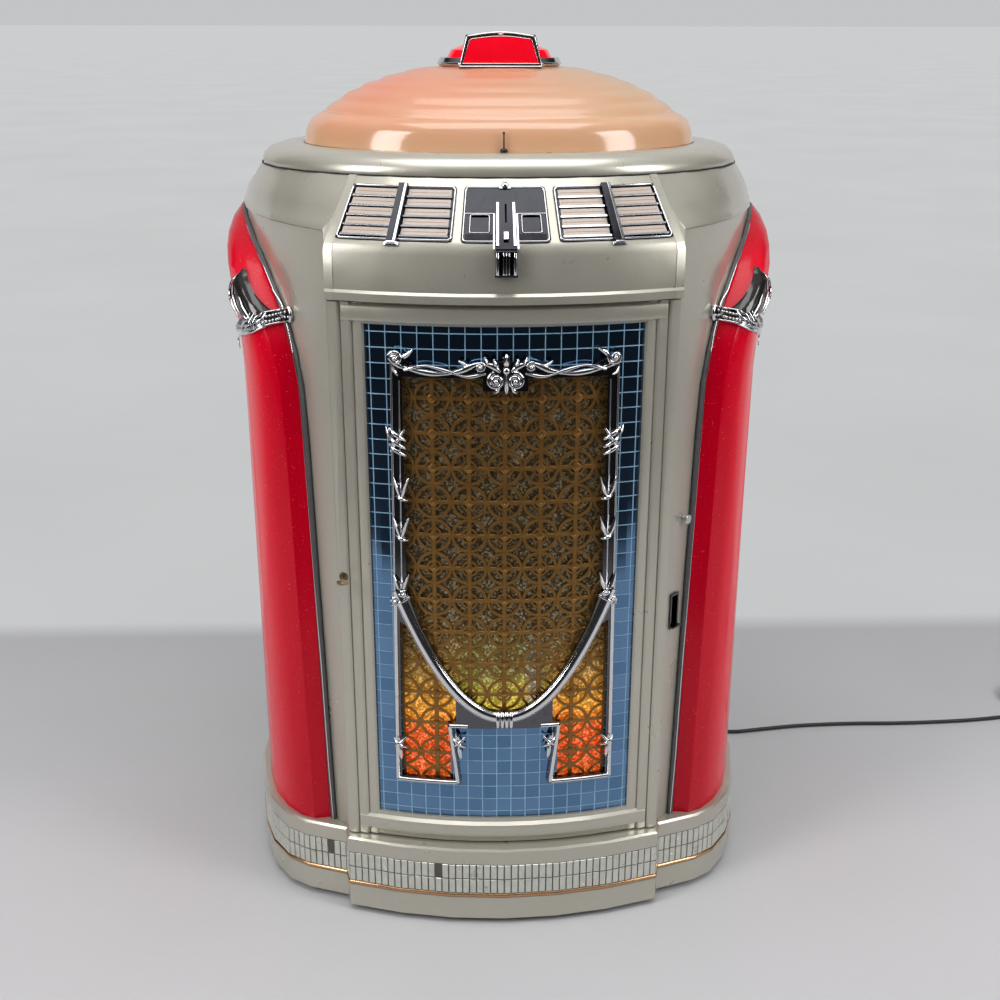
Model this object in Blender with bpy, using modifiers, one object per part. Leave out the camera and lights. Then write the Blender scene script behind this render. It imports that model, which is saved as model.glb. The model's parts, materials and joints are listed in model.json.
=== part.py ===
"""A floor-standing jukebox: a barrel-shaped cabinet on casters with lit side pilasters, a bowed
front door with a mirror-tile panel and a pierced grille, a sloping title console with
selector bars, and a hinged lid with a rippled dome. Metres, +Z up, the front faces -Y, and the
origin is on the floor under the middle of the cabinet."""

import math

import bmesh
import bpy
from mathutils import Matrix, Vector

# Shared clearances and finishes of the modelling
GAP = 0.0003
SMALL_SIDES = 12
MITRE_LIMIT_SHARE = 0.5
RUNNING_GAP = 0.0008
OVERRUN = 0.01
WELD = 0.00001

# Cabinet barrel: half an ellipse in front of its widest line, a squarish back behind it
BARREL_HALF_WIDTH = 0.437
BARREL_FRONT_REACH = 0.513
BARREL_WIDEST_Y = 0.168
BARREL_BACK_Y = 0.308
BARREL_BACK_WIDTH_SHARES = (1.0, 0.995, 0.978, 0.940, 0.870, 0.770, 0.515, 0.255, 0.0)
BARREL_BACK_DEPTH_SHARES = (0.0, 0.30, 0.58, 0.81, 0.95, 1.0, 1.0, 1.0, 1.0)
FRONT_FLAT_HALF_WIDTH = 0.270
WALL = 0.012
FRONT_POINTS = 6

# Heights of the main courses
SKIRT_BOTTOM_Z = 0.012
SKIRT_TOP_Z = 0.1497
RIM_Z = 1.182
LID_SEAM_Z = 1.2585

# Skirt: its plan runs from the bowed front over a lobe under each pilaster to the back
SKIRT_OVERHANG = 0.0165
SKIRT_HALF_WIDTH = BARREL_HALF_WIDTH + SKIRT_OVERHANG
SKIRT_CORNER_SHARE = 0.592
SKIRT_FRONT_Y = -0.3185
SKIRT_BOW = 0.0486
SKIRT_LOBE_DEPTH = 0.243
SKIRT_BACK_Y = 0.3205
SKIRT_WALL = 0.009
SKIRT_LEDGE = 0.010
SKIRT_LEDGE_REACH = 0.030
BASE_BOARD = 0.018
BASE_BOARD_Z = 0.064
BOW_POINTS = 6
SKIRT_LOBE_WIDTH_SHARES = (0.606, 0.672, 0.761, 0.842, 0.914, 0.960, 1.0, 1.0)
SKIRT_LOBE_DEPTH_SHARES = (1.0, 0.955, 0.895, 0.790, 0.590, 0.350, -0.060, -0.600)
SKIRT_CORNER_WIDTH_SHARES = (0.975, 0.880)
SKIRT_CORNER_DEPTH_SHARES = (0.880, 1.0)

# Mirror band and copper bead round the skirt
BAND_BOTTOM_Z = 0.0630
BAND_TOP_Z = 0.1206
BAND_THICKNESS = 0.0025
BAND_RECESS = 0.0032
COPPER_RADIUS = 0.0040
COPPER_SIDES = 6

# Casters
CASTER_WHEEL_RADIUS = 0.024
CASTER_WHEEL_WIDTH = 0.018
CASTER_AXLE_RADIUS = 0.003
CASTER_CHEEK = 0.003
CASTER_INSET = 0.1235
CASTER_HALF_TRACK = SKIRT_HALF_WIDTH - CASTER_INSET
CASTER_FRONT_Y = -0.150
CASTER_BACK_Y = 0.235
CASTER_CHEEK_LENGTH = 0.026

# Door: bowed, hinged at its right edge
DOOR_HALF_WIDTH = 0.2676
DOOR_EDGE_Y = -0.2542
DOOR_BOW = 0.0486
DOOR_BOTTOM_Z = 0.1520
DOOR_TOP_Z = 1.0803
DOOR_CLOSING_PLATE = 0.003
DOOR_PLATE_DEPTH = 0.0095
DOOR_PLATE_SET_BACK = 0.0005
DOOR_BACK_CHAMFER = 0.0080
PANEL_HALF_WIDTH = 0.2125
PANEL_BOTTOM_Z = 0.1985
PANEL_TOP_Z = 1.0475
STILE_STEP_WIDTH = 0.0183
STILE_STEP_DEPTH = 0.004
STILE_ROUND_SHARES = ((0.0, 0.35), (0.12, 0.0), (0.80, 0.0), (1.0, 0.55))
STILE_BACK_DEPTH = 0.0226
BEAM_FACE_DEPTH = 0.0086
BEAM_BACK_DEPTH = 0.0218
LEDGE = 0.006
LEDGE_SET_BACK = 0.0005
HEADER_ROLL_RADIUS = 0.0150
HEADER_ROLL_Z = 1.0640
SILL_ROLL_RADIUS = 0.0150
SILL_ROLL_Z = 0.1765
ROLL_INSET = 0.021
DOOR_OPENING_HALF_WIDTH = 0.230
DOOR_OPENING_BOTTOM_Z = 0.190
DOOR_OPENING_TOP_Z = 1.060
RELIEF_HALF_WIDTH = 0.262
RELIEF_BOTTOM_Z = 1.112
HINGE_X = 0.2640
HINGE_Y = -0.2470
HINGE_PIN_RADIUS = 0.0025
HINGE_PIN_REACH = 0.004
HINGE_SOCKET_DEPTH = 0.006
DOOR_COLUMNS = 10
ROLL_SIDES = 4

# Mirror panel, pierced screen and chrome grille on the door
MIRROR_DEPTH = 0.0135
MIRROR_THICKNESS = 0.004
SCREEN_THICKNESS = 0.0022
SCREEN_OVERLAP = 0.007
GRILLE_TOP_HALF_WIDTH = 0.1735
GRILLE_FOOT_HALF_WIDTH = 0.1810
GRILLE_TOP_Z = 0.984
GRILLE_BOTTOM_Z = 0.2665
GRILLE_BAR = 0.0090
GRILLE_HEAD_BAR = 0.014
GRILLE_THICKNESS = 0.009
GRILLE_CREST_SHARES = ((0.0, 0.0), (0.35, -0.04), (0.62, 0.03), (0.80, 0.22), (0.92, 0.70), (1.0, 1.0))
GRILLE_CREST_RISE = 0.025
LEG_INNER_FOOT = 0.0723
LEG_INNER_HEAD = 0.0850
LEG_TOP_Z = 0.3735
SHIELD_HALF_WIDTH = 0.171
SHIELD_BAR = 0.018
SHIELD_SPRING_Z = 0.617
SHIELD_TIP_Z = 0.394
SHIELD_POINTS = 7
SHIELD_FULLNESS = 2.05
SHIELD_TURN_SHARE = 0.93
CROTCH_SHARE = 0.29
SIDE_BAR = 0.0170
SCROLL_RADIUS = 0.0118
SCROLL_X = 0.1590
SCROLL_Z = 0.9935
SCROLL_TOP_SHARE = 0.75
BOSS_ROOT_SHARE = 0.3
BOSS_RISE_SHARE = 1.4
CREST_HALF_WIDTH = 0.034
CREST_HEIGHT = 0.046
CREST_Z = 0.974
SCREEN_PITCH = 0.056
STAR_REACH = 0.0225
BEND_PITCH = SCREEN_PITCH

# Door lock
LOCK_X = -0.2585
LOCK_Z = 0.633
LOCK_RADIUS = 0.0070
LOCK_LENGTH = 0.012
KEY_SHAFT_RADIUS = 0.0022
KEY_SHAFT_LENGTH = 0.016
KEY_BOW_RADIUS = 0.0095
KEY_BOW_SHARE = 0.9
KEY_BOW_HOLE_SHARE = 0.45
KEY_BOW_THICKNESS = 0.0022

# Console: an apron over the door and a sloping face up to the lid
CONSOLE_HALF_WIDTH = 0.270
NORMAL_STEP_SHARE = 0.01
CONSOLE_TOP_HALF_WIDTH = 0.232
CONSOLE_EDGE_Y = -0.2542
CONSOLE_BOW = 0.0514
CONSOLE_BOTTOM_Z = 1.0835
CONSOLE_EDGE_Z = 1.161
CONSOLE_TOP_Z = LID_SEAM_Z - GAP
CONSOLE_SHEET = 0.005
CONSOLE_LIP_Z = 1.0995
CONSOLE_LIP = 0.004
CONSOLE_EDGE_ROUND = 0.007
CONSOLE_COLUMNS = 8
CHEEK_SHARE = 0.050
CHEEK_PROUD = 0.0008

# Deck between the cabinet rim and the lid seam
DECK_SHEET = 0.006
DECK_LIP = 0.010
DECK_BEAD = 0.003
DECK_BLEND_REACH = 0.17
DECK_BEAD_SHARES = (0.02, 0.10)
DECK_SHOULDER_SHARES = ((0.0, 0.16), (0.12, 0.40), (0.34, 0.60), (0.66, 0.80), (1.0, 1.0))

# Title panels with their selector bars, in shares of the console's half width and slope
TITLE_INNER_SHARE = 0.300
TITLE_OUTER_SHARE = 0.946
TITLE_LOW_SHARE = 0.135
TITLE_HIGH_SHARE = 0.865
TITLE_PROUD = 0.0018
TITLE_DEPTH = 0.0075
TITLE_RIM = 0.004
TITLE_RECESS = 0.0020
TITLE_COLUMNS = 2
TITLE_POCKET_DEPTH = 0.018
RIDGE_MIDDLE_SHARE = 0.625
RIDGE_HALF_WIDTH = 0.0075
RIDGE_PROUD = 0.0075
RIDGE_LAP = 0.001
BAR_ROWS = 5
BAR_HEIGHT = 0.0034
BAR_PROUD = 0.0030
BAR_TAIL = 0.0050
BAR_TRAVEL = 0.004
BAR_CLEARANCE = 0.0004
BAR_END_CLEARANCE = 0.0009

# Coin plate and its lever
COIN_HALF_WIDTH_SHARE = 0.243
COIN_LOW_SHARE = 0.125
COIN_HIGH_SHARE = 0.865
COIN_PROUD = 0.0018
COIN_DEPTH = 0.0075
COIN_COLUMNS = 4
STEM_HALF_WIDTH = 0.0155
STEM_PROUD = 0.012
STEM_BOTTOM_Z = 1.126
STEM_HIGH_SHARE = 0.640
COIN_SLOT_WIDTH = 0.0030
COIN_SLOT_LOW_SHARE = 0.340
COIN_SLOT_HIGH_SHARE = 0.590
LEVER_HALF_WIDTH = 0.0038
LEVER_LOW_SHARE = 0.110
LEVER_HIGH_SHARE = 0.215
LEVER_PROUD = 0.0055
LEVER_TRAVEL = 0.006
LEVER_CHANNEL_DEPTH = 0.004
COIN_WINDOW_LOW_SHARE = 0.250
COIN_WINDOW_HIGH_SHARE = 0.480
COIN_WINDOW_INNER_SHARE = 0.095
COIN_WINDOW_OUTER_SHARE = 0.200
COIN_WINDOW_DEPTH = 0.0030

# Lid collar, dome and crown, turned and then narrowed front to back
LID_HALF_WIDTH = 0.390
LID_HALF_DEPTH = 0.2685
LID_CENTRE_Y = 0.0335
COLLAR_WIDTH = 0.0675
COLLAR_RISE = 0.032
COLLAR_SHEET = 0.007
COLLAR_STEPS = 28
COLLAR_OUTER_SHARES = (
    (0.0, 0.0),
    (-0.015, 0.17),
    (0.035, 0.42),
    (0.20, 0.73),
    (0.50, 0.95),
    (0.80, 1.0),
    (1.0, 0.95),
)
DOME_FOOT_MARGIN = 0.0020
DOME_HALF_WIDTH = LID_HALF_WIDTH - COLLAR_WIDTH - DOME_FOOT_MARGIN
DOME_SEAT_GAP = 0.0006
DOME_SHEET = 0.004
DOME_HEIGHT = 0.117
DOME_TOP_HOLE = 0.030
DOME_STEPS = 24
DOME_RADIUS_SHARES = (
    1.0,
    0.985,
    0.955,
    0.905,
    0.838,
    0.803,
    0.735,
    0.702,
    0.628,
    0.595,
    0.515,
    0.475,
    0.400,
    0.310,
)
DOME_HEIGHT_SHARES = (
    0.0,
    0.190,
    0.320,
    0.400,
    0.530,
    0.600,
    0.690,
    0.745,
    0.810,
    0.860,
    0.905,
    0.950,
    0.985,
    1.0,
)
CROWN_RADIUS = 0.0975
CROWN_RING_HEIGHT = 0.013
CROWN_RING_WIDTH = 0.012
CROWN_STEPS = 24
LAMP_FOOT_RADIUS = 0.0850
LAMP_TOP_RADIUS = 0.0600
LAMP_HEIGHT = 0.032
LAMP_SHEET = 0.003
LAMP_RADIUS_SHARES = (0.99, 0.92)
LAMP_HEIGHT_SHARES = (0.45, 0.78, 0.70)
SIGN_FOOT_HALF_WIDTH = 0.0660
SIGN_TOP_HALF_WIDTH = 0.0545
SIGN_SHOULDER = 0.048
SIGN_PEAK_Z = 1.460
SIGN_FRONT = 0.072
SIGN_DEPTH = 0.030
SIGN_WALL = 0.0035
LID_KNUCKLE_RADIUS = 0.0055
LID_KNUCKLE_LENGTH = 0.030
LID_KNUCKLE_X = 0.060
LID_AXIS_OFFSET = 0.0075
LID_LEAF = 0.010
LID_LEAF_SHARE = 0.8

# Pilasters: lit shells that bulge from the barrel between two angles of its plan
PILASTER_SHEET = 0.004
PILASTER_TOP_Z = 1.1812
PILASTER_REAR_ANGLE = math.radians(86.5)
PILASTER_EDGE_ANGLE = math.radians(6.5)
PILASTER_EDGE = 0.005
PILASTER_DEPTH = 0.045
PILASTER_COLUMNS = 10
PILASTER_EASE_SHARE = 0.10
PILASTER_BULGE_SHARES = (
    (45.0, 0.84),
    (50.0, 0.95),
    (54.0, 1.0),
    (60.0, 0.92),
    (68.0, 0.62),
    (76.0, 0.38),
    (87.0, 0.20),
)
PILASTER_LEVEL_SHARES = (
    0.0,
    0.34,
    0.68,
    0.76,
    0.807,
    0.845,
    0.874,
    0.898,
    0.922,
    0.945,
    0.965,
    0.984,
    0.995,
    1.0,
)
SHOULDER_GROWTH = 0.0165
SHOULDER_GROWTH_SHARES = (0.0, 0.0, 0.0, 0.05, 0.20, 0.42, 0.64, 0.84, 1.0, 0.99, 0.80, 0.35, -0.15, -0.60)

# Trim strips along the front edge of the pilasters
TRIM_WIDTH = 0.0120
TRIM_HEIGHT = 0.0065
TRIM_FLAT_SHARE = 0.4
TRIM_LIMIT_SHARE = 0.985
TRIM_FOOT_HALF_WIDTH = 0.2965
TRIM_LEAN = 0.0255
TRIM_SWEEP = 0.108
TRIM_SWEEP_START_SHARE = 0.700
TRIM_SWEEP_POWER = 2.35

# Ornaments: a strap over the pilaster with a horn above and a hook below
STRAP_HEIGHT = 0.020
STRAP_THICKNESS = 0.0030
STRAP_FRONT_Z = 1.052
STRAP_REAR_Z = 1.010
STRAP_COLUMNS = 9
STRAP_REAR_ANGLE = math.radians(76.0)
HORN_ANGLE = math.radians(66.0)
HORN_HEIGHT = 0.078
HORN_DROP = 0.040
HORN_PLACE_SHARE = 0.55
HORN_SHARES = (
    (-1.0, 1.0, 0.0),
    (-0.5, 0.5, 0.0),
    (0.0, 0.0, 0.0),
    (0.35, 0.0, 0.40),
    (0.7, 0.0, 0.75),
    (1.0, 0.0, 1.0),
)
HORN_RADIUS = 0.0080
HORN_OUT = 0.004
HORN_TIP_SHARE = 0.12

# Push button and coin return on the right-hand wall
BUTTON_ANGLE = math.radians(42.6)
BUTTON_Z = 0.710
BUTTON_BEZEL_RADIUS = 0.0080
BUTTON_BEZEL_HEIGHT = 0.003
BUTTON_RADIUS = 0.0050
BUTTON_PROUD = 0.010
BUTTON_TAIL = 0.016
BUTTON_TRAVEL = 0.005
RETURN_ANGLE = math.radians(40.6)
RETURN_Z = 0.550
RETURN_WIDTH = 0.022
RETURN_HEIGHT = 0.064
RETURN_CUP_DEPTH = 0.034
RETURN_WALL = 0.0015
RETURN_FLANGE = 0.0025
RETURN_LIP = 0.007
RETURN_LIP_SHARE = 0.84

# Back panel
BACK_OPENING_HALF_WIDTH = 0.235
BACK_OPENING_BOTTOM_Z = 0.215
BACK_OPENING_TOP_Z = 1.080
BACK_PANEL_THICKNESS = 0.008
BACK_PANEL_MARGIN = 0.022
VENT_SLOTS = 6
VENT_HALF_WIDTH = 0.110
VENT_HEIGHT = 0.010
VENT_PITCH = 0.024
VENT_TOP_Z = 0.960
GLAND_X = 0.190
GLAND_Z = 0.245
GLAND_RADIUS = 0.0095
GLAND_END_SHARE = 0.7
GLAND_LENGTH = 0.012

# Workings behind the door and under the lid
SHELF_Z = 0.860
SHELF_HALF_WIDTH = 0.345
SHELF_FRONT_Y = -0.105
SHELF_BACK_Y = 0.275
SHELF_THICKNESS = 0.006
RAIL_SIZE = 0.022
TURNTABLE_RADIUS = 0.1270
TURNTABLE_THICKNESS = 0.014
TURNTABLE_X = 0.165
TURNTABLE_Y = 0.090
SPINDLE_RADIUS = 0.0036
SPINDLE_HEIGHT = 0.012
HUB_RADIUS = 0.018
HUB_HEIGHT = 0.034
ARM_X = 0.165
ARM_Y = -0.060
ARM_POST_RADIUS = 0.011
ARM_POST_HEIGHT = 0.058
ARM_TUBE_RADIUS = 0.005
ARM_LENGTH = 0.150
ARM_REST_ANGLE = math.radians(172.0)
ARM_HEAD_LENGTH = 0.036
ARM_HEAD_WIDTH = 0.016
ARM_HEAD_HEIGHT = 0.013
MAGAZINE_X = -0.165
MAGAZINE_Y = 0.085
RECORD_RADIUS = 0.127
RECORD_THICKNESS = 0.0025
RECORD_COUNT = 10
RECORD_SIDES = 8
RECORD_PITCH = 0.014
MAGAZINE_CORE_RADIUS = 0.030
MAGAZINE_FOOT_HEIGHT = 0.012
MAGAZINE_FOOT_HALF_WIDTH = 0.055
MAGAZINE_RAIL_SHARE = 0.6
MAGAZINE_TRAVEL = 0.030
MAGAZINE_RAIL_LENGTH = 0.200
MAGAZINE_RAIL_WIDTH = 0.008
MAGAZINE_RAIL_HEIGHT = 0.006
AMPLIFIER_WIDTH = 0.360
AMPLIFIER_DEPTH = 0.180
AMPLIFIER_HEIGHT = 0.070
AMPLIFIER_Y = 0.160
VALVE_RADIUS = 0.018
VALVE_HEIGHT = 0.095
VALVE_PITCH = 0.060
VALVE_COUNT = 4
VALVE_TIP_SHARE = 0.7
TRANSFORMER_SIZE = 0.080
TRANSFORMER_PLACE_SHARE = 0.6
SPEAKER_RADIUS = 0.180
SPEAKER_RIM_SHARE = 1.04
SPEAKER_SIDES = 20
MAGNET_ROOT_SHARE = 0.9
CONE_DEPTH_SHARE = 0.8
CONE_THROAT_SHARE = 0.6
SPEAKER_DEPTH = 0.110
SPEAKER_MAGNET_RADIUS = 0.055
SPEAKER_MAGNET_DEPTH = 0.050
BAFFLE_HALF_WIDTH = 0.215
BAFFLE_HEIGHT = 0.440
BAFFLE_THICKNESS = 0.015
BAFFLE_Y = -0.205

# Mains cord: the free stretch leaves the gland, drops to the floor and runs to the right
CORD_DIAMETER = 0.008
CORD_ROUTE = (
    (0.1900, 0.3203, 0.2450),
    (0.1900, 0.3340, 0.2450),
    (0.1915, 0.3620, 0.2400),
    (0.1950, 0.3800, 0.2220),
    (0.2020, 0.3920, 0.1800),
    (0.2130, 0.3990, 0.1200),
    (0.2260, 0.4040, 0.0650),
    (0.2480, 0.4080, 0.0260),
    (0.2800, 0.4110, 0.0075),
    (0.3200, 0.4080, 0.0044),
    (0.3700, 0.3920, 0.0044),
    (0.4200, 0.3640, 0.0044),
    (0.4700, 0.3350, 0.0044),
    (0.5237, 0.3215, 0.0044),
    (0.5859, 0.3300, 0.0044),
    (0.6785, 0.3440, 0.0044),
    (0.7900, 0.3500, 0.0044),
    (0.9040, 0.3490, 0.0044),
    (1.0190, 0.3540, 0.0044),
    (1.1100, 0.3640, 0.0044),
    (1.1850, 0.3790, 0.0044),
    (1.2500, 0.4010, 0.0044),
)
CORD_STEPS = 3
COIL_TURNS = 6
COIL_POINTS = 18
COIL_MEAN_RADIUS = 0.0455
COIL_PITCH = 0.0090
COIL_LIFT = 0.0088
TAIL_RADIUS = 0.040
TAIL_TURN = math.radians(70)
TAIL_POINTS = 9
PLUG_LENGTH = 0.034
PLUG_WIDTH = 0.026
PLUG_THICKNESS = 0.018
BLADE_LENGTH = 0.017
BLADE_WIDTH = 0.0065
BLADE_THICKNESS = 0.0016
BLADE_SPREAD = 0.0127

FINISHES = {
    "champagne": ((0.40, 0.37, 0.30), 0.30, 0.55),
    "red_plastic": ((0.62, 0.00, 0.02), 0.20, 0.0),
    "chrome": ((0.72, 0.72, 0.74), 0.12, 1.0),
    "grey_trim": ((0.10, 0.10, 0.11), 0.35, 0.4),
    "mirror_blue": ((0.05, 0.11, 0.24), 0.08, 0.8),
    "mirror_clear": ((0.55, 0.57, 0.52), 0.10, 0.9),
    "gold": ((0.30, 0.17, 0.05), 0.35, 0.9),
    "copper": ((0.42, 0.22, 0.10), 0.25, 1.0),
    "amber_plastic": ((0.60, 0.34, 0.19), 0.25, 0.0),
    "dark_steel": ((0.05, 0.05, 0.055), 0.45, 0.8),
    "fibreboard": ((0.20, 0.12, 0.07), 0.80, 0.0),
    "paper_cone": ((0.03, 0.03, 0.03), 0.85, 0.0),
    "shellac": ((0.01, 0.01, 0.01), 0.25, 0.0),
    "rubber": ((0.015, 0.015, 0.015), 0.60, 0.0),
    "bronze": ((0.28, 0.20, 0.11), 0.35, 0.9),
}


def pivot(name, location, *pieces):
    """An empty on a joint's axis, with the pieces that turn or slide together parented to it."""
    empty = put(name, None)
    empty.location = location
    bpy.context.view_layer.update()
    for piece in pieces:
        piece.parent = empty
        piece.matrix_parent_inverse = empty.matrix_world.inverted()
    return empty


def clear_scene():
    for thing in list(bpy.data.objects):
        bpy.data.objects.remove(thing)
    for collection in list(bpy.data.collections):
        bpy.data.collections.remove(collection)


def new_collection(name):
    collection = bpy.data.collections.new(name)
    bpy.context.scene.collection.children.link(collection)
    return collection


clear_scene()
PARTS = new_collection("jukebox")
GUIDES = new_collection("cutters")


def finish(name):
    material = bpy.data.materials.get(name)
    if material:
        return material
    colour, roughness, metallic = FINISHES[name]
    material = bpy.data.materials.new(name)
    material.use_nodes = True
    shader = material.node_tree.nodes["Principled BSDF"]
    shader.inputs["Base Color"].default_value = (*colour, 1)
    shader.inputs["Roughness"].default_value = roughness
    shader.inputs["Metallic"].default_value = metallic
    return material


def put(name, data, look=None):
    """A new object: a part with a finish, or a guide that isn't rendered."""
    piece = bpy.data.objects.new(name, data)
    if look:
        PARTS.objects.link(piece)
        data.materials.append(finish(look))
    else:
        GUIDES.objects.link(piece)
        piece.hide_render = True
        if data:
            piece.display_type = "WIRE"
    return piece


def mesh_from(bm, name):
    bmesh.ops.recalc_face_normals(bm, faces=bm.faces)
    mesh = bpy.data.meshes.new(name)
    bm.to_mesh(mesh)
    bm.free()
    return mesh


def smooth(piece, angle=35):
    piece.data.shade_smooth()
    piece.data.set_sharp_from_angle(angle=math.radians(angle))
    return piece


def baked(piece, look=None):
    """The evaluated shape of a curve or a modified mesh as a plain welded mesh under the same name."""
    bpy.context.view_layer.update()
    graph = bpy.context.evaluated_depsgraph_get()
    mesh = bpy.data.meshes.new_from_object(piece.evaluated_get(graph))
    bm = bmesh.new()
    bm.from_mesh(mesh)
    bmesh.ops.remove_doubles(bm, verts=bm.verts, dist=WELD)
    bmesh.ops.recalc_face_normals(bm, faces=bm.faces)
    bm.to_mesh(mesh)
    bm.free()
    name = piece.name
    place = piece.matrix_world.copy()
    bpy.data.objects.remove(piece)
    mesh.materials.clear()
    solid = put(name, mesh, look)
    solid.matrix_world = place
    return solid


def with_boolean(piece, others, operation):
    for other in others:
        modifier = piece.modifiers.new(f"{operation.lower()} {other.name}", "BOOLEAN")
        modifier.operation = operation
        modifier.object = other
        modifier.solver = "EXACT"
    return piece


def cut(piece, *cutters):
    return with_boolean(piece, cutters, "DIFFERENCE")


def join(piece, *others):
    return with_boolean(piece, others, "UNION")


def block(name, lows, highs, look=None):
    """A box between two corners, with its origin at its middle."""
    low, high = Vector(lows), Vector(highs)
    bm = bmesh.new()
    bmesh.ops.create_cube(bm, size=1)
    bmesh.ops.scale(bm, vec=high - low, verts=bm.verts)
    piece = put(name, mesh_from(bm, name), look)
    piece.location = (low + high) / 2
    return piece


def rod(name, start, end, radius, look=None, sides=20, end_radius=None):
    """A cylinder or a cone between two points."""
    start, end = Vector(start), Vector(end)
    axis = end - start
    bm = bmesh.new()
    bmesh.ops.create_cone(
        bm,
        cap_ends=True,
        segments=sides,
        radius1=radius,
        radius2=radius if end_radius is None else end_radius,
        depth=axis.length,
    )
    piece = put(name, mesh_from(bm, name), look)
    piece.rotation_mode = "QUATERNION"
    piece.rotation_quaternion = axis.to_track_quat("Z", "Y")
    piece.location = (start + end) / 2
    return smooth(piece)


def plate(name, outlines, low, high, look=None):
    """Flat outlines, the first with the others as its holes, raised from one height to another."""
    curve = bpy.data.curves.new(name, "CURVE")
    curve.dimensions = "2D"
    curve.fill_mode = "BOTH"
    curve.extrude = (high - low) / 2
    for outline in outlines:
        spline = curve.splines.new("POLY")
        spline.points.add(len(outline) - 1)
        for point, (x, y) in zip(spline.points, outline):
            point.co = (x, y, 0, 1)
        spline.use_cyclic_u = True
    piece = put(name, curve)
    piece.location.z = (low + high) / 2
    return baked(piece, look)


def tube(name, points, radius, look=None, roundness=2, radii=None):
    """A round tube along points, tapered where radii give each point's share of the radius."""
    curve = bpy.data.curves.new(name, "CURVE")
    curve.dimensions = "3D"
    curve.bevel_depth = radius
    curve.bevel_resolution = roundness
    curve.use_fill_caps = True
    spline = curve.splines.new("POLY")
    spline.points.add(len(points) - 1)
    for index, place in enumerate(points):
        spline.points[index].co = (*place, 1)
        spline.points[index].radius = radii[index] if radii else 1
    return put(name, curve, look)


def loft(name, sections, look=None, closed=False):
    """Quads between sections of equal count, capped at both ends unless the sections form a loop."""
    bm = bmesh.new()
    rings = [[bm.verts.new(point) for point in section] for section in sections]
    pairs = list(zip(rings, rings[1:]))
    if closed:
        pairs.append((rings[-1], rings[0]))
    else:
        bm.faces.new(rings[0])
        bm.faces.new(reversed(rings[-1]))
    for low, high in pairs:
        for index in range(len(low)):
            after = (index + 1) % len(low)
            bm.faces.new((low[index], low[after], high[after], high[index]))
    return smooth(put(name, mesh_from(bm, name), look), 40)


def turned(name, profile, steps, centre, depth_share, look):
    """A closed profile of radii and heights turned about a vertical line, then narrowed in depth."""
    bm = bmesh.new()
    points = [bm.verts.new((radius, 0, height)) for radius, height in profile]
    for start, end in zip(points, points[1:] + points[:1]):
        bm.edges.new((start, end))
    mesh = bpy.data.meshes.new(name)
    bm.to_mesh(mesh)
    bm.free()
    piece = put(name, mesh)
    screw = piece.modifiers.new("turn", "SCREW")
    screw.steps = steps
    screw.render_steps = steps
    screw.use_merge_vertices = True
    screw.merge_threshold = WELD
    solid = baked(piece, look)
    solid.data.transform(Matrix.Diagonal((1, depth_share, 1, 1)))
    solid.location = centre
    return smooth(solid)


def share_between(table, place):
    """The value of a table of (place, value) rows at a place between them."""
    for (start, low), (end, high) in zip(table, table[1:]):
        if place <= end:
            share = max(0, (place - start) / (end - start))
            return low + (high - low) * share
    return table[-1][1]


# Plan outlines


def barrel_point(angle, out=0.0, height=0.0, side=1):
    """A place by its angle on the front ellipse of the barrel, its distance out and its height."""
    x = BARREL_HALF_WIDTH * math.sin(angle)
    y = BARREL_WIDEST_Y - BARREL_FRONT_REACH * math.cos(angle)
    normal = barrel_normal(angle)
    return Vector((side * (x + out * normal.x), y + out * normal.y, height))


def barrel_normal(angle, side=1):
    normal = Vector((math.sin(angle) / BARREL_HALF_WIDTH, -math.cos(angle) / BARREL_FRONT_REACH, 0))
    normal.normalize()
    normal.x *= side
    return normal


def front_flat_angle():
    return math.asin(FRONT_FLAT_HALF_WIDTH / BARREL_HALF_WIDTH)


def front_flat_y():
    return barrel_point(front_flat_angle()).y


def barrel_plan(inset=0.0):
    """The barrel's plan, from the right end of its flat front round the back to the left end."""
    half = []
    wide = BARREL_HALF_WIDTH - inset
    first = math.asin((FRONT_FLAT_HALF_WIDTH - inset) / wide)
    for step in range(FRONT_POINTS):
        angle = first + (math.pi / 2 - first) * step / FRONT_POINTS
        half.append((wide * math.sin(angle), BARREL_WIDEST_Y - (BARREL_FRONT_REACH - inset) * math.cos(angle)))
    half[0] = (half[0][0], front_flat_y() + inset)
    reach = BARREL_BACK_Y - inset - BARREL_WIDEST_Y
    for width, depth in zip(BARREL_BACK_WIDTH_SHARES, BARREL_BACK_DEPTH_SHARES):
        half.append((wide * width, BARREL_WIDEST_Y + reach * depth))
    return half + [(-x, y) for x, y in reversed(half[:-1])]


def bow_y(x, edge_y, bow, half_width):
    return edge_y - bow * (1 - (x / half_width) ** 2)


def skirt_half_plan():
    """The right half of the skirt's plan, from the middle of the front to the back corner."""
    half = []
    corner_x = SKIRT_HALF_WIDTH * SKIRT_CORNER_SHARE
    for step in range(BOW_POINTS // 2 + 1):
        x = corner_x * step / (BOW_POINTS // 2)
        half.append((x, SKIRT_FRONT_Y + SKIRT_BOW * (x / corner_x) ** 2))
    for width, depth in zip(SKIRT_LOBE_WIDTH_SHARES, SKIRT_LOBE_DEPTH_SHARES):
        half.append((SKIRT_HALF_WIDTH * width, -SKIRT_LOBE_DEPTH * depth))
    for width, depth in zip(SKIRT_CORNER_WIDTH_SHARES, SKIRT_CORNER_DEPTH_SHARES):
        half.append((SKIRT_HALF_WIDTH * width, SKIRT_BACK_Y * depth))
    return half


def skirt_plan(inset=0.0):
    half = skirt_half_plan()
    points = half + [(-x, y) for x, y in reversed(half[1:])]
    return moved_in(points, inset)


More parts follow.
